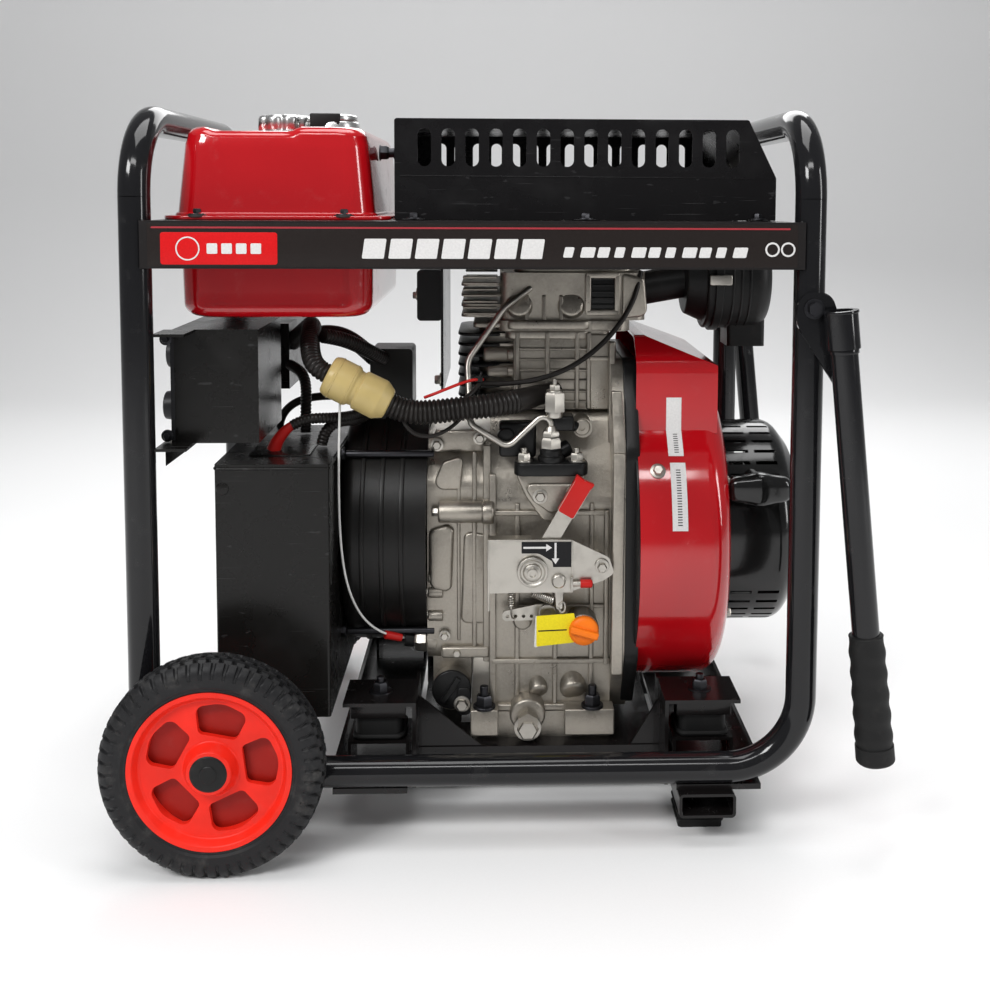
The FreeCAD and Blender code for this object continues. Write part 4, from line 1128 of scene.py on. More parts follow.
def print_block(y0, y1, z0, z1, x0, x1):
    """A flat block of print that faces along X."""
    return prism(corners_of(y0, y1, z0, z1, 0.6), "x", x0, x1, 0.0, 2)


# ---- wheels ---------------------------------------------------------------------------------
class WELDER_OT_wheels(bpy.types.Operator):
    """Block-tread tyres, hub caps and the inner walls of the rims, darker red as painted shade in the pockets"""
    bl_idname = "welder.wheels"
    bl_label = "Wheels"

    def execute(self, context):
        sizes = context.scene.welder_sizes
        low, high = span("wheel_tyre_front")
        middle = (low + high) / 2
        outer, half = (high[2] - low[2]) / 2, (high[1] - low[1]) / 2
        rim = 81.6
        depth, blocks = sizes.tread_depth / MM, sizes.tread_blocks
        corner = 15.0
        a = np.radians(np.linspace(0, 90, 13))
        side_r = np.concatenate([[rim, rim + 0.2, rim + 2.2, rim + 3.6, rim + 6.0],
                                 np.linspace(rim + 8, outer - corner, 7)])
        side_v = np.concatenate([[half - 7, half - 3.2, half - 2.2, half - 2.6, half - 1.0],
                                 half - 0.9 * np.cos(np.linspace(0, math.pi / 2, 7))])
        side_v[-1] = half
        shoulder_r = outer - corner + corner * np.sin(a[1:])
        shoulder_v = half - corner + corner * np.cos(a[1:])
        crown_v = np.linspace(half - corner, -(half - corner), 25)[1:-1]
        r = np.concatenate([side_r, shoulder_r, np.full(len(crown_v), outer), shoulder_r[::-1],
                            side_r[::-1]])
        v = np.concatenate([side_v, shoulder_v, crown_v, -shoulder_v[::-1], -side_v[::-1]])
        steps = blocks * 12
        turn = np.arange(steps) * 2 * math.pi / steps
        row = np.clip(np.round(v / (half * 2 / 5)), -2, 2)
        within = np.abs(v / (half * 2 / 5) - row)
        shift = 0.5 * (np.abs(row) % 2)
        phase = (turn[:, None] * blocks / (2 * math.pi) + shift[None, :] + 0.004 * v[None, :]) % 1.0
        gap = 1 - soft_step(np.abs(phase - 0.5), 0.30, 0.42)
        ring_gap = np.where(np.abs(row) == 2, np.where(within * np.sign(row) * np.sign(v) > 0, 0, 1), 1)
        groove_round = 1 - soft_step(within, 0.34, 0.46) * ring_gap
        tread = (r > outer - corner * 0.62).astype(float)
        side_lug = ((r > outer - corner * 1.15) & (r <= outer - corner * 0.62)).astype(float)
        crown_drop = depth * (1 - gap * groove_round[None, :]) * tread[None, :]
        drop = crown_drop + depth * 0.55 * (1 - gap) * side_lug[None, :]
        ribs = 0.35 * (np.abs(r - (rim + 8)) < 1.2)
        normal_r = np.where(tread > 0, 1.0, 0.35)
        normal_v = np.where(tread > 0, 0.0, 1.0) * np.sign(v)
        rr = r[None, :] - drop * normal_r[None, :]
        vv = (v - ribs * np.sign(v))[None, :] - drop * 0.5 * normal_v[None, :]
        places = np.stack([middle[0] + rr * np.cos(turn)[:, None], middle[1] + vv + 0 * rr,
                           middle[2] + rr * np.sin(turn)[:, None]], -1)
        tyre = grid(places, close_rows=True, close_columns=True)
        make_pair("tyre_", tyre, "tyre_rubber", body="wheel_", replaces="wheel_tyre_", sharp=28)
        outer_face = span("wheel_rim_front")[0][1]
        cap = lathe([(0, 0, 0), (19.5, 0, 0), (19.5, 3, 1), (17, 4.5, 1), (0, 5.5, 0)],
                    (middle[0], outer_face + 3.5, middle[2]), FORWARD, 48)
        boss = lathe([(0, 0, 0), (9, 0, 0), (8, 0.8, 0.4), (0, 0.8, 0)],
                     (middle[0], outer_face - 1.8, middle[2]), FORWARD, 32)
        make_pair("hub_cap_", cap + boss, "rim_red", "filter_plastic", body="wheel_")
        # the web takes the darker red as painted shade on the floor of the rim's pockets
        web = flat_ring(24, 74, 2, 0, (middle[0], middle[1] + 2.5, middle[2]), FORWARD, 72, 1)
        make_pair("rim_web_", web, "rim_red", "rim_painted_shade", body="wheel_")
        return {"FINISHED"}


# ---- folding handles ------------------------------------------------------------------------
class WELDER_OT_handles(bpy.types.Operator):
    """Ribbed rubber grips on the folding handles, and the lip of each socket"""
    bl_idname = "welder.handles"
    bl_label = "Handles"

    def execute(self, context):
        start, end = np.array((369.0, -264.0, 560.0)), np.array((415.4, -264.0, 100.0))
        along = unit(end - start)
        length = 140.0
        s = np.linspace(0, length, 281)
        fingers = 2.2 * np.sin(math.pi * np.clip((s - 8) / (length - 30), 0, 1) * 5) ** 2
        radius = 17.2 + 1.6 * s / length + np.where(s < length - 22, fingers * 0.6, 1.3)
        radius *= np.clip(np.sqrt(np.clip(1 - ((s - (length - 7)) / 7.2) ** 2, 0.0, 1)), 0.35,
                          1) * (s > length - 7) + (s <= length - 7)
        radius[:4] = (13.9, 16.0, 17.4, 17.8)
        path = end - along * (length - 1.0) + along * s[:, None]
        first, second = across(along)
        turn = np.arange(48) * 2 * math.pi / 48
        flat = 1 - 0.06 * np.abs(np.cos(turn)) ** 6
        ring = np.cos(turn)[:, None] * first + np.sin(turn)[:, None] * second
        grip = grid(path[:, None] + radius[:, None, None] * (ring * flat[:, None])[None], close_columns=True,
                    caps=True)
        lip = lathe([(12.2, 0, 0), (18.0, 0, 0.6), (18.0, 3, 0.6), (12.2, 3, 0)], start - along * 13, along,
                    48, 3)
        collar = lathe([(13.8, 0, 0), (15.2, 0, 0.4), (15.2, 5, 0.4), (13.8, 5, 0)], start + along * 26,
                       along, 40, 3)
        for name in ("front", "rear"):
            shapes = [grip, lip + collar] if name == "front" else [grip.far_side(),
                    (lip + collar).far_side()]
            make_piece("grip_rubber_" + name, shapes[0], "rubber_black", body="handle_" + name,
                       replaces=["handle_grip_" + name], sharp=50)
            make_piece("handle_collars_" + name, shapes[1], "frame_black", body="handle_" + name)
        return {"FINISHED"}


# ---- engine castings ------------------------------------------------------------------------
def rib_x(x0, x1, z, y_face, proud=4.0, wide=5.0):
    """A cast rib that runs along X on a face towards -Y."""
    return slab(x0, x1, y_face - proud, y_face + 1.0, z - wide / 2, z + wide / 2, 1.4)


def rib_z(x, z0, z1, y_face, proud=4.0, wide=5.0):
    """A cast rib that runs upright on a face towards -Y."""
    return slab(x - wide / 2, x + wide / 2, y_face - proud, y_face + 1.0, z0, z1, 1.4)


class WELDER_OT_castings(bpy.types.Operator):
    """Ribs, bosses, bands and fins of the cylinder, head, crankcase and gear cover"""
    bl_idname = "welder.castings"
    bl_label = "Castings"

    def execute(self, context):
        self.cylinder()
        self.head()
        self.crankcase()
        self.gear_cover()
        return {"FINISHED"}

    def cylinder(self):
        """Ribs on the cylinder's flat sides, its bosses, and the barrel's fins, coloured black as painted shade."""
        face = -80.0
        shapes = [slab(40, 128, face - 0.6, -48, 441, 531, 2.5),
                  slab(126, 152, face - 3.0, face + 1, 440, 528, 2.0)]
        shapes += [rib_z(x, 441, 530, face - 0.6, 4.2, 5.4) for x in (45.0, 79.5, 114.0, 127.5)]
        shapes += [rib_x(45, 127, z, face - 0.6, 3.4, 3.2) for z in np.arange(449.0, 520.0, 12.3)]
        for z, r, reach in ((503.0, 9.5, 6.0), (483.0, 8.5, 10.0)):
            shapes += [rod((reach, -64, z), (42, -64, z), r, 3.0),
                       rod((34, -70, z), (48, -72, z), r * 0.8, 2.0)]
        shapes += [slab(150, 158, -92, -78, 402, 520, 2.0), slab(128, 152, face - 5.5, face, 497, 502, 1.0)]
        make_pair("cylinder_ribs_", together(shapes), "engine_alloy")
        # the alloy fins are coloured black: painted shade on the barrel's shaded side
        fins = []
        for z in np.arange(452.0, 526.0, 12.0):
            fins.append(prism(corners_of(-24, 38, -70, 70, 22), "z", z - 0.4, z + 3.4, 1.2, 8))
        make_piece("barrel_fins", fins, "engine_alloy", "pump_black")

    def head(self):
        """Bands, fins, the head's window filled with black sheets as painted shade, and the rocker cover's seam and
        screws.
        """
        shapes = [prism(corners_of(30, 132, -85.5, 85.5, 13), "z", 533.0, 543.5, 2.4, 8),
                  prism(corners_of(31, 131, -84.0, 84.0, 12), "z", 521.5, 532.0, 2.4, 8),
                  prism(corners_of(128, 166, -83, 83, 5), "z", 532, 544, 1.6, 4),
                  prism(corners_of(-6, 34, -76, 76, 6), "z", 534.5, 540, 1.2, 4)]
        for side in (-1, 1):
            for x in (56.0, 75.7, 95.5):
                shapes.append(prism([(side * 73, 544, 0), (side * 81.5, 544, 0), (side * 77.5, 571, 2),
                                     (side * 73, 574, 0)], "x", x - 2.1, x + 2.1, 0.8, 3))
            for x in (47.0, 107.0):
                shapes.append(lathe([(0, 0, 0), (17, 0, 0), (14, 6, 5), (0, 9, 0)], (x, side * 72, 561),
                                    (0, side, 0.35), 40, 5))
            window = [(124, 163, 549, 556), (124, 163, 592, 599), (123, 130, 552, 596), (157, 164, 552, 596)]
            shapes += [slab(x0, x1, *sorted((side * 72, side * 80)), z0, z1, 1.6) for x0, x1, z0,
                       z1 in window]
            shapes += [slab(-18, 22, *sorted((side * 52, side * 71)), z, z + 2.6, 1.0)
                       for z in np.arange(549, 592, 7.0)]
            shapes.append(prism([(166, 545, 4), (196, 548, 10), (192, 592, 6), (166, 598, 4)], "y",
                                *sorted((side * 60, side * 79)), 3, 4))
        make_piece("head_ribs", shapes, "engine_alloy")
        # black sheet and bars in the window: painted shade in the head's recess
        dark = [slab(129, 158, *sorted((s * 72.5, s * 76.2)), 555, 593, 0.4) for s in (-1, 1)]
        dark += [slab(129, 158, *sorted((s * 74, s * 78.2)), z, z + 2.4, 0.8)
                 for z in np.arange(560, 592, 7.5) for s in (-1, 1)]
        make_piece("head_window", dark, "engine_alloy", "pump_black")
        low, high = span("rocker_cover")
        seam = tube(np.column_stack([rounded_ring(low[0] - 1, high[0] + 1, low[1] - 1, high[1] + 1, 18),
                                     np.full(132, low[2] + 2.5)]), 3.0, 12, True)
        screws = [bolt((x, y, high[2] - 14), UP, 10, 6, 8.5) for x in (low[0] + 9, high[0] - 9)
                  for y in (low[1] + 9, high[1] - 9)]
        crown = bolt((98, 0, high[2] - 1), UP, 13, 8, 11)
        make_piece("rocker_seam", seam, "rocker_alloy")
        make_piece("rocker_screws", together(screws) + crown, "steel_zinc")

    def crankcase(self):
        """Ribs, bosses, feet and the drain plug, the bell's rim and the blower's back plate."""
        face = -112.0
        shapes = [rib_x(16, 150, 327, face, 5.0, 6.0), rib_x(16, 152, 154, face, 5.0, 6.0),
                  rib_x(40, 150, 218, face, 3.5, 4.5)]
        shapes += [rib_z(x, 100, 338, face, 4.0, 5.4) for x in (45.0, 88.5, 130.0)]
        shapes += [rib_z(17.0, 96, 372, face, 4.6, 8.0), rib_z(147.0, 150, 330, face, 6.0, 6.0)]
        shapes.append(slab(14, 152, -118, -108, 96, 104, 2.0))
        for x, r in ((108.0, 21.0), (68.0, 15.0)):
            shapes.append(rod((x, -96, 134), (x + 2, -118, 118), r * 0.72, 4.0))
        for x0, x1 in ((-8.0, 23.5), (99.0, 155.5)):
            shapes.append(slab(x0, x1, -136, -112, 75, 105, 1.6))
        shapes += [rod((57, -108, 98), (57, -130, 95), 20.5, 4.0),
                   rod((57, -108, 84), (57, -131, 84), 15, 3.0),
                   lathe([(9.5, 0, 0), (17.5, 0, 0), (17.5, 5, 1.5), (15.5, 7, 1), (9.5, 7, 0)],
                         (119, -140.5, 202), FORWARD, 48), rod((119, -108, 202), (119, -142, 202), 16.6,
                   2.0), slab(78, 86, -124, -108, 214, 250, 2.0),
                   rod((51, -108, 205), (51, -126, 205), 11, 3.0),
                   lathe([(3.6, 0, 0), (9.5, 0, 1), (9.5, 14, 2), (3.6, 14, 0)], (118, -100, 425), FORWARD,
                         36), slab(90, 112, -100, -84, 420, 429, 2.0)]
        make_piece("crankcase_ribs", shapes, "engine_alloy")
        rear = together([rib_x(16, 150, 327, -face, -5.0, 6.0), rib_x(16, 152, 154, -face, -5.0, 6.0),
                         *[rib_z(x, 100, 338, -face, -4.0, 5.4) for x in (30.0, 60.0, 88.5, 130.0)]])
        rear.points[:, 1] = np.maximum(rear.points[:, 1], -face - 1.0)
        make_piece("crankcase_ribs_rear", rear, "engine_alloy")
        rim = prism([(150, 150, 2), (163, 150, 2), (164.5, 402, 2), (151, 402, 2)], "y", -148.6, -142, 1.6,
                    3)
        top = prism([(151, 402, 1), (164.5, 402, 1), (161, 470, 2), (149, 470, 2)], "y", -112, -106, 1.4, 3)
        lean = np.clip((top.points[:, 2] - 402) / 68, 0, 1)
        top.points[:, 1] += -36 + 10 * lean
        make_piece("bell_rim", rim + rim.far_side() + top + top.far_side(), "engine_alloy", "cast_rim")
        back = lathe([(112, 0, 0), (181, 0, 1), (181, 3.2, 1), (112, 3.2, 0)], (175.6, 0, CRANK_Z), RIGHT,
                     96)
        band = prism([(-96, 96, 12), (-147.8, 168, 30), (-147.8, 402, 40), (-98, 502, 20), (98, 502, 20),
                      (147.8, 402, 40), (147.8, 168, 30), (96, 96, 12)], "x", 165.0, 180.5, 1.5, 8)
        make_piece("blower_back", back + band, "pump_black")
        zinc = [bolt((57, -134, 84), FORWARD, 21, 8.5, 15.5), rod((57, -120, 84), (57, -135, 84), 12, 0.8)]
        make_piece("drain_bolt", zinc, "steel_zinc")
        feet = []
        for x in (7.5, 131.0):
            feet += [rod((x, -126, 104), (x, -126, 130), 4.8, 1.0),
                     disc_of(12.8, 3.4, 1.2, (x, -126, 104.6), UP, 32), bolt((x, -126, 107.5), UP, 17, 12)]
        make_piece("foot_studs", feet, "bolt_black")

    def gear_cover(self):
        """Ribs, sunk panels, bolts and the oil filter's cap."""
        face = -105.0
        shapes = [rib_z(10.5, 152, 404, face + 2, 8.0, 9.0), rib_z(-4.0, 160, 396, face, 4.0, 5.0),
                  rib_z(-22.0, 176, 372, face, 2.4, 4.0)]
        shapes += [rod((-45, -112, 328), (17, -112, 328), 12.6, 3.0),
                   rod((4, -112, 328), (19, -112, 328), 14.2, 3.5),
                   rod((-60, -92, 172), (-46, -92, 172), 14, 3.0)]
        for z in (232.0, 250.0, 205.0):
            shapes.append(rod((-57, -104, z), (-40, -104, z), 6.5, 1.5))
        shapes += [slab(-42, 14, -113, -100, 157, 170, 3.0),
                   prism([(-56, 238, 12), (-30, 232, 8), (-27, 306, 6), (-34, 312, 6), (-56, 306, 10)],
                         "y", -111, -98, 4.0, 6), prism([(-20, 196, 8), (10, 196, 4), (10, 300, 4),
                                                         (-16, 304, 8)], "y", -108.5, -98, 3.0, 6),
                   prism([(-54, 352, 10), (-20, 352, 4), (-16, 392, 6), (-40, 384, 10)], "y", -108, -98, 2.5,
                         5), slab(-50, 8, -92, -76, 392, 418, 4.0)]
        make_piece("gear_cover_ribs", shapes, "engine_alloy")
        zinc = [bolt((-45.5, -112, 328), LEFT, 9, 7, 0), bolt((-57.5, -104, 232), LEFT, 9, 6),
                bolt((-57.5, -104, 206), LEFT, 9, 6), bolt((-38, -110, 183), FORWARD, 8, 4, 6.5),
                bolt((-47, -96, 402), FORWARD, 9, 5, 7.5), bolt((-24, -113, 163.5), FORWARD, 8, 4),
                bolt((2, -98, 410), FORWARD, 9, 5, 7.5), bolt((-60, -94, 174), LEFT, 25, 13),
                bolt((-18, -119, 106), FORWARD, 12, 6, 9.5)]
        make_piece("gear_cover_bolts", zinc, "steel_zinc")
        disc = lathe([(0, 0, 0), (22.5, 0, 1), (22.5, 5, 2), (0, 6.5, 0)], (-30, -111.5, 121), FORWARD, 56)
        ridge = slab(-3.4, 3.4, -121.5, -116, -17, 17, 1.6).turned(34, "Y").moved(-31, 0, 122)
        lug = prism([(-24, 92, 6), (-8, 92, 6), (-8, 124, 5), (-24, 124, 5)], "y", -118.5, -108, 1.2, 4)
        make_piece("oil_filter_cap", disc + ridge + lug, "pump_black")


class WELDER_OT_injection(bpy.types.Operator):
    """Injection pump on its seat, its unions, the injector tube and the fuel banjo"""
    bl_idname = "welder.injection"
    bl_label = "Injection"

    def execute(self, context):
        x, y = PUMP_AT
        line = fillet([(x, y, 424), (x, y, 452), (34, y, 406), (-8, -129, 432), (-12, -104, 500),
                       (30, -96, 560), (60, -75, 580)], [9, 12, 12, 26, 24], steps=12)
        make_piece("injector_tube", tube(line, 3.6, 20), "steel_zinc", replaces=["injector_line"])
        union = [bolt((x, y, 406), UP, 21, 12), bolt((x, y, 419), UP, 18, 6),
                 lathe([(3.6, 0, 0), (7.8, 0, 0), (5.2, 6, 1), (3.6, 6, 0)], (x, y, 424.5), UP, 32)]
        banjo = [bolt((86, y, 447), UP, 21, 22), rod((86, y, 440), (86, y, 449), 9.5, 1.0),
                 rod((86, y, 468), (86, y, 471), 9.6, 0.8), bolt((86, y, 471), UP, 11, 6),
                 rod((86, y, 476), (86, y, 483), 2.8, 0.8)]
        nuts = []
        for nx in (52.0, 111.0):
            nuts += [disc_of(9.6, 2, 0.8, (nx, -133, 391), UP, 32),
                     bolt((nx, -133, 392.5), UP, 13, 8), rod((nx, -133, 399), (nx, -133, 406), 3.6, 0.8)]
        make_piece("injector_unions", union + banjo + nuts, "steel_zinc")
        black = [lathe([(0, 0, 0), (14.5, 0, 2), (14.5, 8, 1.5), (12.2, 10, 1), (12.2, 15, 1), (10.5, 17, 1),
                        (10.5, 20, 1), (0, 20, 0)], (x, y, 388), UP, 48),
                 prism([(40, -147, 12), (124, -147, 12), (122, -114, 8), (42, -114, 8)], "z", 376, 391, 2.4,
                       6), slab(78, 108, -132, -106, 424, 441, 3.0),
                 rod((112, -112, 425), (92, -118, 436), 6.0, 1.5),
                 rod((104, -116, 404), (88, -120, 396), 9.0, 2.0), slab(24, 66, -120, -100, 392, 432, 4.0),
                 rod((32, -124, 416), (32, -108, 416), 10, 2.0)]
        make_piece("pump_body", black, "pump_black", replaces=["injection_pump"])
        flange = [prism([(42, 377, 3), (122, 377, 3), (112, 350, 12), (92, 322, 8), (74, 322, 8),
                         (54, 350, 12)], "y", -134, -110, 2.5, 6),
                  prism([(50, 366, 6), (114, 366, 6), (104, 346, 8), (84, 330, 10), (62, 346, 8)],
                        "y", -138, -130, 2.5, 6)]
        make_piece("pump_seat", flange, "engine_alloy")
        small = [bolt((70, -138, 352), FORWARD, 10, 5, 8.5), bolt((104, -134, 358), FORWARD, 8.5, 4.5, 6.5)]
        make_piece("pump_seat_bolts", small, "steel_zinc")
        return {"FINISHED"}


# ---- stop control ---------------------------------------------------------------------------
def arrow(start, end, y, half=1.1, head=4.2):
    """A flat arrow on a face towards -Y, from (x, z) to (x, z)."""
    start, end = np.array(start, float), np.array(end, float)
    ahead = unit(end - start)
    side = np.array((-ahead[1], ahead[0]))
    neck = end - ahead * head * 1.5
    corners = [start - side * half, neck - side * half, neck - side * head, end, neck + side * head,
               neck + side * half, start + side * half]
    return prism([(c[0], c[1], 0) for c in corners], "y", y - 0.25, y + 0.1, 0.0, 2)


class WELDER_OT_stop_control(bpy.types.Operator):
    """Label, springs, washers and rod of the stop control, and the levers' dress"""
    bl_idname = "welder.stop_control"
    bl_label = "Stop control"

    def execute(self, context):
        face = -158.0
        ink = face - 0.3
        label = prism([(49, 306, 0.6), (49, 293, 0.6), (68, 293, 10), (83, 284, 4), (84, 277.5, 0.6),
                       (105, 277.5, 0.6), (105, 306, 0.6)], "y", ink, face + 0.05, 0.0, 5)
        make_piece("stop_label", label, "steel_zinc", "label_black")
        arrows = arrow((51, 299.5), (82.5, 299.5), ink) + arrow((86.5, 305), (86.5, 281), ink)
        make_piece("stop_arrows", arrows, "steel_zinc", "label_white")
        x, z = LEVER_AT
        dish = lathe([(0, 0, 0), (16.6, 0, 0), (17.2, 2.4, 1.0), (14.6, 3.0, 0.8), (12.6, 1.6, 0.8),
                      (10.6, 1.8, 0.6), (9.4, 4.4, 1), (7.0, 5.4, 1), (0, 5.4, 0)], (x, face - 3.0, z),
                     FORWARD, 56)
        head = socket_screw((x, face - 8.0, z), FORWARD, 6.2, 3.4)
        knob = lathe([(0, 0, 0), (7.8, 0, 0.6), (7.8, 3, 1), (6.0, 4.6, 1), (0, 5, 0)],
                     (90, face - 0.2, 262), FORWARD, 36)
        eye = flat_ring(3.0, 8.0, 2.0, 0.8, (138, face - 0.4, 279), FORWARD, 36)
        pin = bolt((138, face - 2.2, 277.5), FORWARD, 9.5, 4)
        lip_top = slab(12, 104, face - 0.9, face + 0.4, 306.4, 308.6, 0.5)
        lip_left = slab(11.4, 13.4, face - 0.9, face + 0.4, 228, 308, 0.5)
        lip_mid = slab(104, 106, face - 0.9, face + 0.4, 250, 308, 0.5)
        tail = prism([(86, 252, 1), (96, 252, 1), (95, 226, 3), (88, 226, 3)], "y", -150, -147.4, 0.6, 3)
        hook = tube(spline([(91, -150, 232), (97, -151, 238), (99, -151, 226), (93, -151, 222),
                            (90, -150, 230)]), 1.1, 10)
        stud = rod((105, -162, 260), (116, -162.5, 260), 3.0,
                   0.6) + slab(103.4, 105.6, -166, -157, 251, 268, 0.6)
        make_piece("stop_fittings", [dish, head, knob, eye, pin, lip_top, lip_left, lip_mid, tail, hook,
                                     stud], "steel_zinc")
        cap = lathe([(0, 0, 0), (4.6, 0, 0.6), (4.6, 13, 2.5), (0, 14, 0)], (114, -162.5, 260), RIGHT, 28)
        make_piece("stop_screw_cap", cap, "steel_zinc", "red_sleeve")
        springs = coil((37.7, -150, 249), (37.7, -150, 231), 3.1, 0.85, 7) + coil((61, -150, 247),
                (84, -146, 236), 4.6, 0.95, 11)
        wires = tube(spline([(37.7, -150, 231), (37.7, -149, 224), (38.5, -142, 214), (42, -134, 211)]), 1.0,
                     8)
        make_piece("stop_springs", springs + wires, "steel_zinc")
        self.lever()
        self.speed_arm()
        self.tag()
        self.dipstick()
        return {"FINISHED"}

    def lever(self):
        """A moulded sleeve, flared at its end, along the lever's line, 60 degrees above the level."""
        angle = math.radians(60)
        u = np.array((math.cos(angle), 0, math.sin(angle)))
        w = np.array((-math.sin(angle), 0, math.cos(angle)))
        base = np.array((LEVER_AT[0], -153.5, LEVER_AT[1]))
        corners = [(71.9, -10.12, 3.0), (110, -10.4, 1), (117.8, -11.6, 1.5), (116.5, 0, 6),
                   (117.8, 11.6, 1.5), (110, 10.4, 1), (71.9, 10.12, 3.0)]
        flat = prism(corners, "z", -4.1, 4.1, 1.4, 5)
        places = base + flat.points @ np.array((u, w, (0, 1, 0)))
        make_piece("lever_sleeve", Shape(places, flat.faces), "steel_zinc", "red_sleeve", body="stop_lever")

    def speed_arm(self):
        """The washer and plug at the speed lever's pivot."""
        ring = flat_ring(4.6, 9.8, 3.4, 1, (SPEED_AT[0], -131, SPEED_AT[1]), FORWARD, 40)
        make_piece("speed_ring", ring, "steel_zinc", body="speed_lever")
        plug = rod((SPEED_AT[0], -127, SPEED_AT[1]), (SPEED_AT[0], -133, SPEED_AT[1]), 4.4, 0.4)
        make_piece("speed_plug", plug, "bolt_black")

    def tag(self):
        """A yellow sheet tag, its folded pale edge and one ruled line, each a thin flat shape."""
        for name, finish, corners, y0, y1 in (("oil_tag", "tag_yellow",
                                               [(66, 184, 1), (114, 189, 1), (108, 222, 1),
                                                (66, 219, 1)], -149.4, -148.8),
                                              ("oil_tag_edge", "label_white",
                                               [(63.4, 183, 1.4), (68, 183.5, 1), (68, 219, 1),
                                                (65, 219, 1)], -149.2, -148.5),
                                              ("oil_tag_line", "label_black",
                                               [(68, 201.2, 0.2), (100, 202.4, 0.2), (100, 203.8, 0.2),
                                                (68, 202.6, 0.2)], -149.7, -149.3)):
            make_piece(name, prism(corners, "y", y0, y1, 0.1, 3), "orange_plastic", finish)

    def dipstick(self):
        """A knurled dome, its radius less by so much times (1 + cos 40 a) at angle a, and a waisted grip."""
        x, z = DIPSTICK_AT
        nose_y = span("dipstick")[0][1]
        back = -146.4
        turn = np.arange(160) * 2 * math.pi / 160
        rows = []
        for part, depth, knurl in ((0.0, 0.0, 0), (0.94, 0.0, 0), (1.0, 1.0, 1), (1.0, 4.2, 1),
                                   (0.96, 5.8, 0.6), (0.86, 7.2, 0), (0.6, 8.8, 0), (0.3, 9.5, 0),
                                   (0.0, 9.8, 0)):
            r = 17.0 * part - 0.35 * knurl * (1 + np.cos(40 * turn))
            rows.append(np.stack([x + r * np.cos(turn), 0 * turn + back - depth, z + r * np.sin(turn)], -1))
        dome = grid(np.array(rows), close_columns=True)
        bar = slab(-16.4, 16.4, nose_y + 0.2, back - 6, -3.4, 3.4, 1.8)
        waist = 1 + 0.22 * (np.abs(bar.points[:, 0]) / 16.4) ** 2
        bar.points[:, 2] *= waist
        grip = bar.turned(16, "Y").moved(x, 0, z)
        stick = rod((x, back + 0.2, z), (x, -92, z), 4.0)
        make_piece("dipstick_grip", dome + grip + stick, "orange_plastic", body="dipstick",
                   replaces=["dipstick"], sharp=50)


# ---- flywheel end ---------------------------------------------------------------------------
DRUM_RADIUS = 183.35


def drum_patch(x0, x1, low, high, thick=0.35):
    """A thin patch on the blower's drum between two angles above the horizontal, on the service side: a
    place is (x, -r cos a, crank height + r sin a), at the drum's radius and at that plus the thickness."""
    a = np.radians(np.linspace(low, high, 20))
    rows = []
    for x, r in ((x0, 0.0), (x1, 0.0), (x1, thick), (x0, thick)):
        rows.append(np.stack([0 * a + x, -(DRUM_RADIUS + r) * np.cos(a),
                              CRANK_Z + (DRUM_RADIUS + r) * np.sin(a)], -1))
    rows = np.array(rows)
    ends = Shape(np.vstack([rows[:, 0], rows[:, -1]]), [np.array([[3, 2, 1, 0], [4, 5, 6, 7]])])
    return grid(rows, close_rows=True) + ends


class WELDER_OT_flywheel_end(bpy.types.Operator):
    """Blank stickers and screws on the blower, and the rope's handle and guide"""
    bl_idname = "welder.flywheel_end"
    bl_label = "Flywheel end"

    def execute(self, context):
        patches = [drum_patch(212, 229, 36.5, 47.2), drum_patch(213, 230, 10.5, 34)]
        patches.append(slab(212, 229, -125.7, -124.8, 423.8, 461, 0.1))
        make_piece("blank_stickers", patches, "tank_red", "label_white")
        bars = []
        for angles in ((12.5, 32), (38, 46)):
            for a in np.arange(angles[0], angles[1], 0.9):
                bars.append(drum_patch(219, 224, a - 0.2, a + 0.12))
        lines = together(bars)
        lines.points[:, 1] -= 0.15
        make_piece("sticker_lines", lines, "tank_red", "label_black")
        screws = []
        for a in (31, 100, 150, 210, 270):
            t = math.radians(180 - a)
            n = np.array((0.0, math.cos(t), math.sin(t)))
            screws.append(bolt(np.array((199.0, 0, CRANK_Z)) + n * DRUM_RADIUS, n, 10, 5, 8.5))
        for a in range(0, 360, 60):
            t = math.radians(a + 30)
            screws.append(bolt((281.2, 113 * math.cos(t) * 1.32, CRANK_Z + 113 * math.sin(t) * 1.32), RIGHT,
                               9, 5, 8))
        make_piece("blower_screws", screws, "steel_zinc")

        x, z = ROPE_AT
        t = np.linspace(-1, 1, 41)
        line = np.column_stack([x + 36 * t, -136 - 1.5 * (1 - t ** 2), z + 0 * t])
        tall = 12.5 + 4.0 * (1 - t ** 2) + 2.5 * np.exp(-(t / 0.3) ** 2)
        close = np.sqrt(np.clip(1 - np.abs(t) ** 14, 0.02, 1))
        turn = np.arange(40) * 2 * math.pi / 40
        squared = 1 / (np.abs(np.cos(turn)) ** 3 + np.abs(np.sin(turn)) ** 3) ** (1 / 3)
        ring = np.stack([0 * turn, np.cos(turn) * squared * 0.80, np.sin(turn) * squared], -1)
        handle = grid(line[:, None] + (tall * close)[:, None, None] * ring[None], close_columns=True,
                      caps=True)
        stem = lathe([(0, 0, 0), (9.5, 0, 1), (7.5, 8, 2), (0, 8, 0)], (x, -127, z), (0, 1, 0), 32)
        rope = rod((x, -119.5, z), (x, -54, z), 2.5)
        make_piece("rope_handle", handle + stem + rope, "recoil_plastic", body="pull_handle",
                   replaces=["recoil_handle"], sharp=50)
        guide = lathe([(4.2, 0, 0), (13, 0, 0), (14, 3, 1.5), (9, 4.5, 1.5), (4.2, 3, 0)], (x, -115.5, z),
                      FORWARD, 40)
        make_piece("rope_guide", guide, "recoil_plastic")
        return {"FINISHED"}


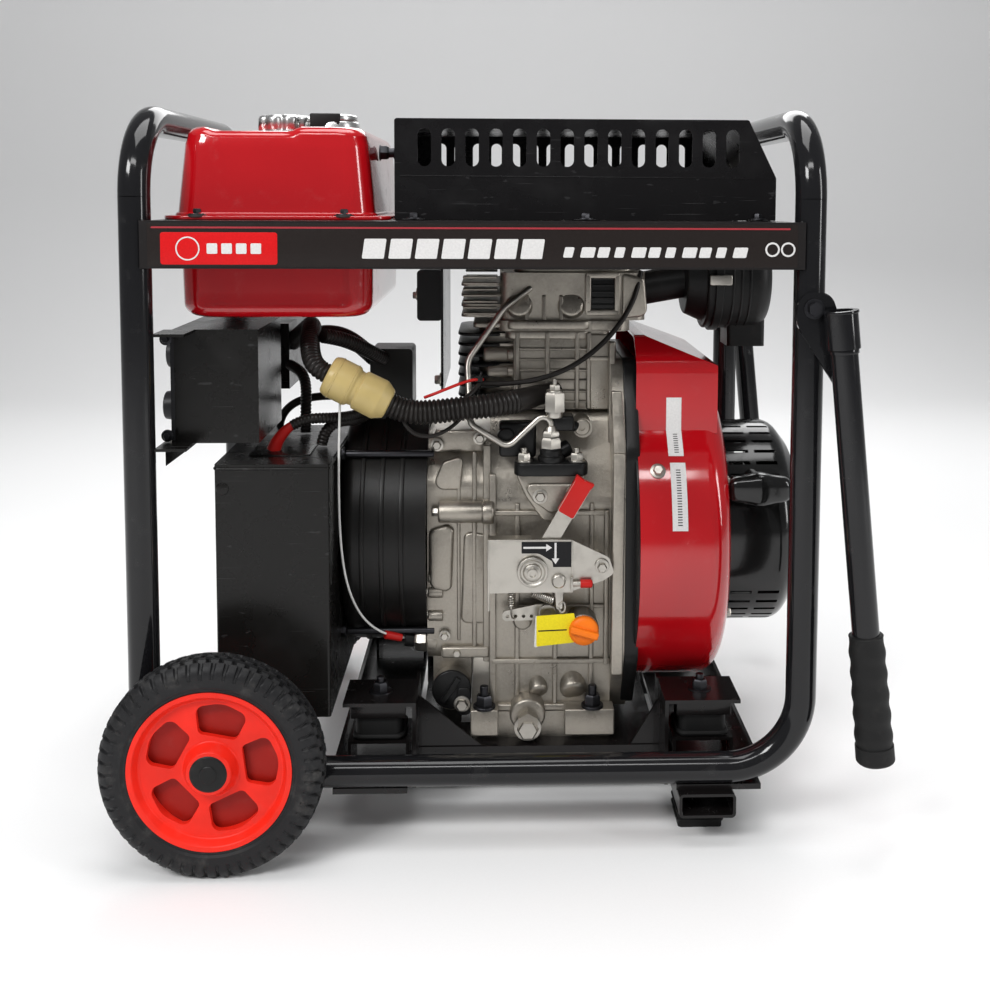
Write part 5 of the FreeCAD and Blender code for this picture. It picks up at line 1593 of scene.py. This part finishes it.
class WELDER_OT_air_side(bpy.types.Operator):
    """Clip and ribs of the air filter, the shield's bolts and the alternator's dress"""
    bl_idname = "welder.air_side"
    bl_label = "Air side"

    def execute(self, context):
        filter_at = np.array((0.0, -10.0, 590.0))
        ribs = [lathe([(60, 0, 0), (63.2, 0, 0.8), (63.2, 2.4, 0.8), (60, 2.4, 0)], filter_at + (x, 0, 0),
                      RIGHT, 72, 2) for x in (296, 306, 316)]
        clip = prism([(268, -6, 2), (294, -6, 2), (294, 6, 2), (268, 6, 2)], "y", 0, 4, 1,
                     3).moved(0, -10 - 68.5, 590)
        cap_knob = lathe([(0, 0, 0), (14, 0, 1), (11, 8, 3), (0, 9, 0)], filter_at + (345.5, 0, 0), RIGHT,
                         40)
        make_piece("filter_ribs", together(ribs) + cap_knob, "filter_plastic")
        make_piece("filter_clip", clip, "steel_zinc")
        shield = [bolt((-44.5, y, z), LEFT, 10, 6, 8) for y,
                  z in ((-48, 470), (-48, 610), (138, 470), (138, 640))]
        case = [bolt((-74.2, y, 567), LEFT, 8, 4, 6) for y in (-14, 50)]
        make_piece("shield_bolts", shield + case, "steel_zinc")
        bolts, vents = [], []
        for k in range(4):
            t = math.radians(45 + 90 * k)
            bolts += [rod((-150, 146 * math.cos(t), CRANK_Z + 146 * math.sin(t)),
                          (-50, 146 * math.cos(t), CRANK_Z + 146 * math.sin(t)), 4, 0.8),
                      bolt((-151, 146 * math.cos(t), CRANK_Z + 146 * math.sin(t)), LEFT, 11, 6, 8)]
        for x in (-132, -110, -88):
            vents.append(lathe([(138, 0, 0), (142.2, 0, 1), (142.2, 5, 1), (138, 5, 0)], (x, 0, CRANK_Z),
                               RIGHT, 96, 2))
        for k in range(18):
            t = math.radians(20 * k)
            y, z = 96 * math.cos(t), CRANK_Z + 96 * math.sin(t)
            louvre = prism(corners_of(-14, 14, -3, 3, 2.8), "x", -156.2, -153.6, 0.6, 4)
            vents.append(louvre.turned(20 * k, "X").moved(0, y, z))
        make_piece("alternator_bolts", bolts, "bolt_black")
        make_piece("alternator_bands", vents, "alternator_black")
        return {"FINISHED"}


# ---- mounts and feet ------------------------------------------------------------------------
class WELDER_OT_mounts(bpy.types.Operator):
    """Bolts, rubber bulges and skirts of the engine mounts and feet"""
    bl_idname = "welder.mounts"
    bl_label = "Mounts"

    def execute(self, context):
        bolts, rubbers, caps = [], [], []
        for x in (-107.0, 249.0):
            for y in (-155.0, 155.0):
                bolts += [bolt((x, y, 136.8), UP, 15, 10, 13), rod((x, y, 146), (x, y, 154), 4.5, 1.0)]
                for z, r in ((97.0, 26.6), (128.0, 26.6)):
                    flat = rounded_ring(x - r, x + r, y - r, y + r, 9, 4)
                    rubbers.append(tube(np.column_stack([flat, np.full(len(flat), z)]), 2.6, 10,
                                        closed=True))
                side = -1 if y < 0 else 1
                caps.append(slab(x - 30, x + 30, *sorted((y + side * 28, y + side * 30.5)), 119, 136, 0.8))
        make_piece("mount_bolts", bolts, "bolt_black")
        make_piece("mount_rubbers", rubbers, "rubber_black")
        make_piece("mount_skirts", caps, "chassis_black")
        feet = [bolt((244, side * 150.5, 47), (0, side, 0), 12, 7, 11) for side in (-1, 1)]
        feet += [bolt((x, side * 212, 59.8), DOWN, 10, 5, 8) for x in (-140, -82, 222, 292)
                 for side in (-1, 1)]
        make_piece("foot_bolts", feet, "bolt_black")
        pads = []
        for side in (-1, 1):
            for z in (8.0, 17.0, 26.0):
                flat = rounded_ring(219.5, 268.5, side * 177 - 24.5, side * 177 + 24.5, 4, 4)
                pads.append(tube(np.column_stack([flat, np.full(len(flat), z)]), 1.3, 8, closed=True))
        make_piece("foot_ribs", pads, "rubber_black")
        return {"FINISHED"}


# ---- harness --------------------------------------------------------------------------------
class WELDER_OT_harness(bpy.types.Operator):
    """Connector, ribbed conduit, cables and wires"""
    bl_idname = "welder.harness"
    bl_label = "Harness"

    def execute(self, context):
        pitch = context.scene.welder_sizes.hose_pitch / MM
        left, right = np.array((-163.0, -150.0, 492.0)), np.array((-96.0, -150.0, 458.0))
        along, length = unit(right - left), float(np.linalg.norm(right - left))
        profile = [(0, 0, 0), (20.5, 0, 4), (23.2, 7, 3), (23.2, 30, 3), (20.2, 33, 1.5), (19.6, 37, 1),
                   (22.2, 39, 2), (22.6, length - 12, 5), (16.5, length - 1, 3), (13, length, 0),
                   (0, length, 0)]
        body = lathe(profile, left, along, 96, 6)
        grooves = [lathe([(22.4, 0, 0), (23.9, 0, 0.6), (23.9, 1.6, 0.6), (22.4, 1.6, 0)], left + along * s,
                         along, 72, 2) for s in (9.0, 27.0)]
        make_piece("connector_body", body + together(grooves), "connector_cream",
                   replaces=["harness_connector"])

        main = [right - along * 4, right + along * 26, (-22, -150, 453), (18, -146, 456), (44, -132, 458.5)]
        sleeve = tube(spline([(40, -134.5, 458), (52, -125, 459.5), (66, -110, 461), (78, -98, 462),
                              (88, -82, 462)]), np.linspace(13.6, 10.5, 41), 32)
        feed = [left + along * 2, left - along * 20, (-188, -116, 528), (-192, -60, 538), (-207, 0, 526),
                (-232, 30, 505)]
        link = [(-232, 84, 500), (-206, 72, 513), (-165, 32, 516), (-128, -5, 490)]
        make_piece("conduit_main", ribbed_hose(main, 13.6, pitch, 0.15) + sleeve, "conduit_black",
                   replaces=["harness_conduit"])
        make_piece("conduit_feed", ribbed_hose(feed, 11.0, 4.4) + ribbed_hose(link, 10.0, 4.4),
                   "conduit_black")
        upper = ribbed_hose([(-172, -118, 530), (-150, -100, 524), (-128, -72, 508), (-112, -45, 494)], 8.5,
                            4.0)
        make_piece("conduit_upper", upper, "conduit_black")

        cable = tube(spline([(2, -128, 478), (20, -124, 476), (60, -118, 478), (104, -110, 490),
                             (146, -98, 520), (174, -88, 556), (184, -78, 582), (188, -72, 600)]), 3.0, 16)
        lead = tube(spline([(-250, 30, 380), (-249, 31, 414), (-224, 30, 436), (-174, 24, 440),
                            (-128, 5, 438)]), 5.0, 16)
        loop = tube(spline([(-84, -150, 448), (-76, -154, 428), (-54, -152, 420), (-30, -140, 428),
                            (-14, -132, 444)]), 2.2, 12)
        stray = tube(spline([(-14, -150, 464), (-4, -142, 470), (2, -130, 478)]), 2.6, 12)
        make_piece("black_cables", cable + lead + loop + stray, "conduit_black", replaces=["loose_wiring"])
        tie = lathe([(2.4, 0, 0), (4.2, 0, 0.4), (4.2, 4, 0.4), (2.4, 4, 0)], (0, -128.5, 477.5), RIGHT, 20,
                    1)
        head = slab(-2, 6, -134.5, -128, 480, 487, 1.0)
        tail = slab(1.2, 3.4, -137, -128.5, 484, 492, 0.5).turned(25, "Y", (2, -130, 486))
        make_piece("cable_tie", tie + head + tail, "conduit_black", "filter_plastic")
        red = tube(spline([(-58, -146, 465), (-46, -150, 470), (-26, -148, 478), (-6, -138, 484),
                           (6, -128, 482)]), 1.7, 12)
        make_piece("red_wire", red, "conduit_black", "red_sleeve")
        white = tube(spline([(-150, -147, 470), (-152, -151, 400), (-152, -153, 320), (-146, -151, 256),
                             (-128, -142, 212), (-106, -113, 186), (-88, -104, 179), (-82, -97, 176)]), 1.3,
                     12)
        make_piece("white_wire", white, "conduit_black", "white_wire")
        crimp = rod((-106, -113, 186), (-88, -104, 179), 4.6, 1.2)
        make_piece("wire_crimp", crimp, "conduit_black", "red_sleeve")
        make_piece("sensor_tip", rod((-85, -95, 175.5), (-73, -94, 174), 9.5, 1.5), "conduit_black",
                   "filter_plastic")
        return {"FINISHED"}


# ---- add-on ---------------------------------------------------------------------------------
OPERATORS = [value for name, value in list(globals().items()) if name.startswith("WELDER_OT_")]


class WELDER_PT_panel(bpy.types.Panel):
    """Lists every step in the 3D view's sidebar"""
    bl_idname = "WELDER_PT_panel"
    bl_label = "Engine driven welder"
    bl_space_type = "VIEW_3D"
    bl_region_type = "UI"
    bl_category = "Welder"

    def draw(self, context):
        scene = context.scene
        for group in (scene.welder_sizes, scene.welder_colours):
            for name in group.bl_rna.properties.keys()[2:]:
                self.layout.prop(group, name)
        for step in OPERATORS:
            self.layout.operator(step.bl_idname)


CLASSES = [WelderColours, WelderSizes, *OPERATORS, WELDER_PT_panel]


def register():
    """Adds the classes and the two groups of properties."""
    for each in CLASSES:
        bpy.utils.register_class(each)
    bpy.types.Scene.welder_colours = PointerProperty(type=WelderColours)
    bpy.types.Scene.welder_sizes = PointerProperty(type=WelderSizes)


def unregister():
    """Takes them away again."""
    del bpy.types.Scene.welder_colours
    del bpy.types.Scene.welder_sizes
    for each in reversed(CLASSES):
        bpy.utils.unregister_class(each)


def main():
    """Registers the add-on, runs every step in order and writes the sizes of both models."""
    register()
    for step in OPERATORS:
        getattr(bpy.ops.welder, step.bl_idname.split(".")[1])()
    boxes = {"cad": [list(corner) for corner in cad_box], "visual": [list(corner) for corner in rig.bounds()]}
    with open("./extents.json", "w") as size_file:
        json.dump(boxes, size_file)


if __name__ == "__main__":
    main()
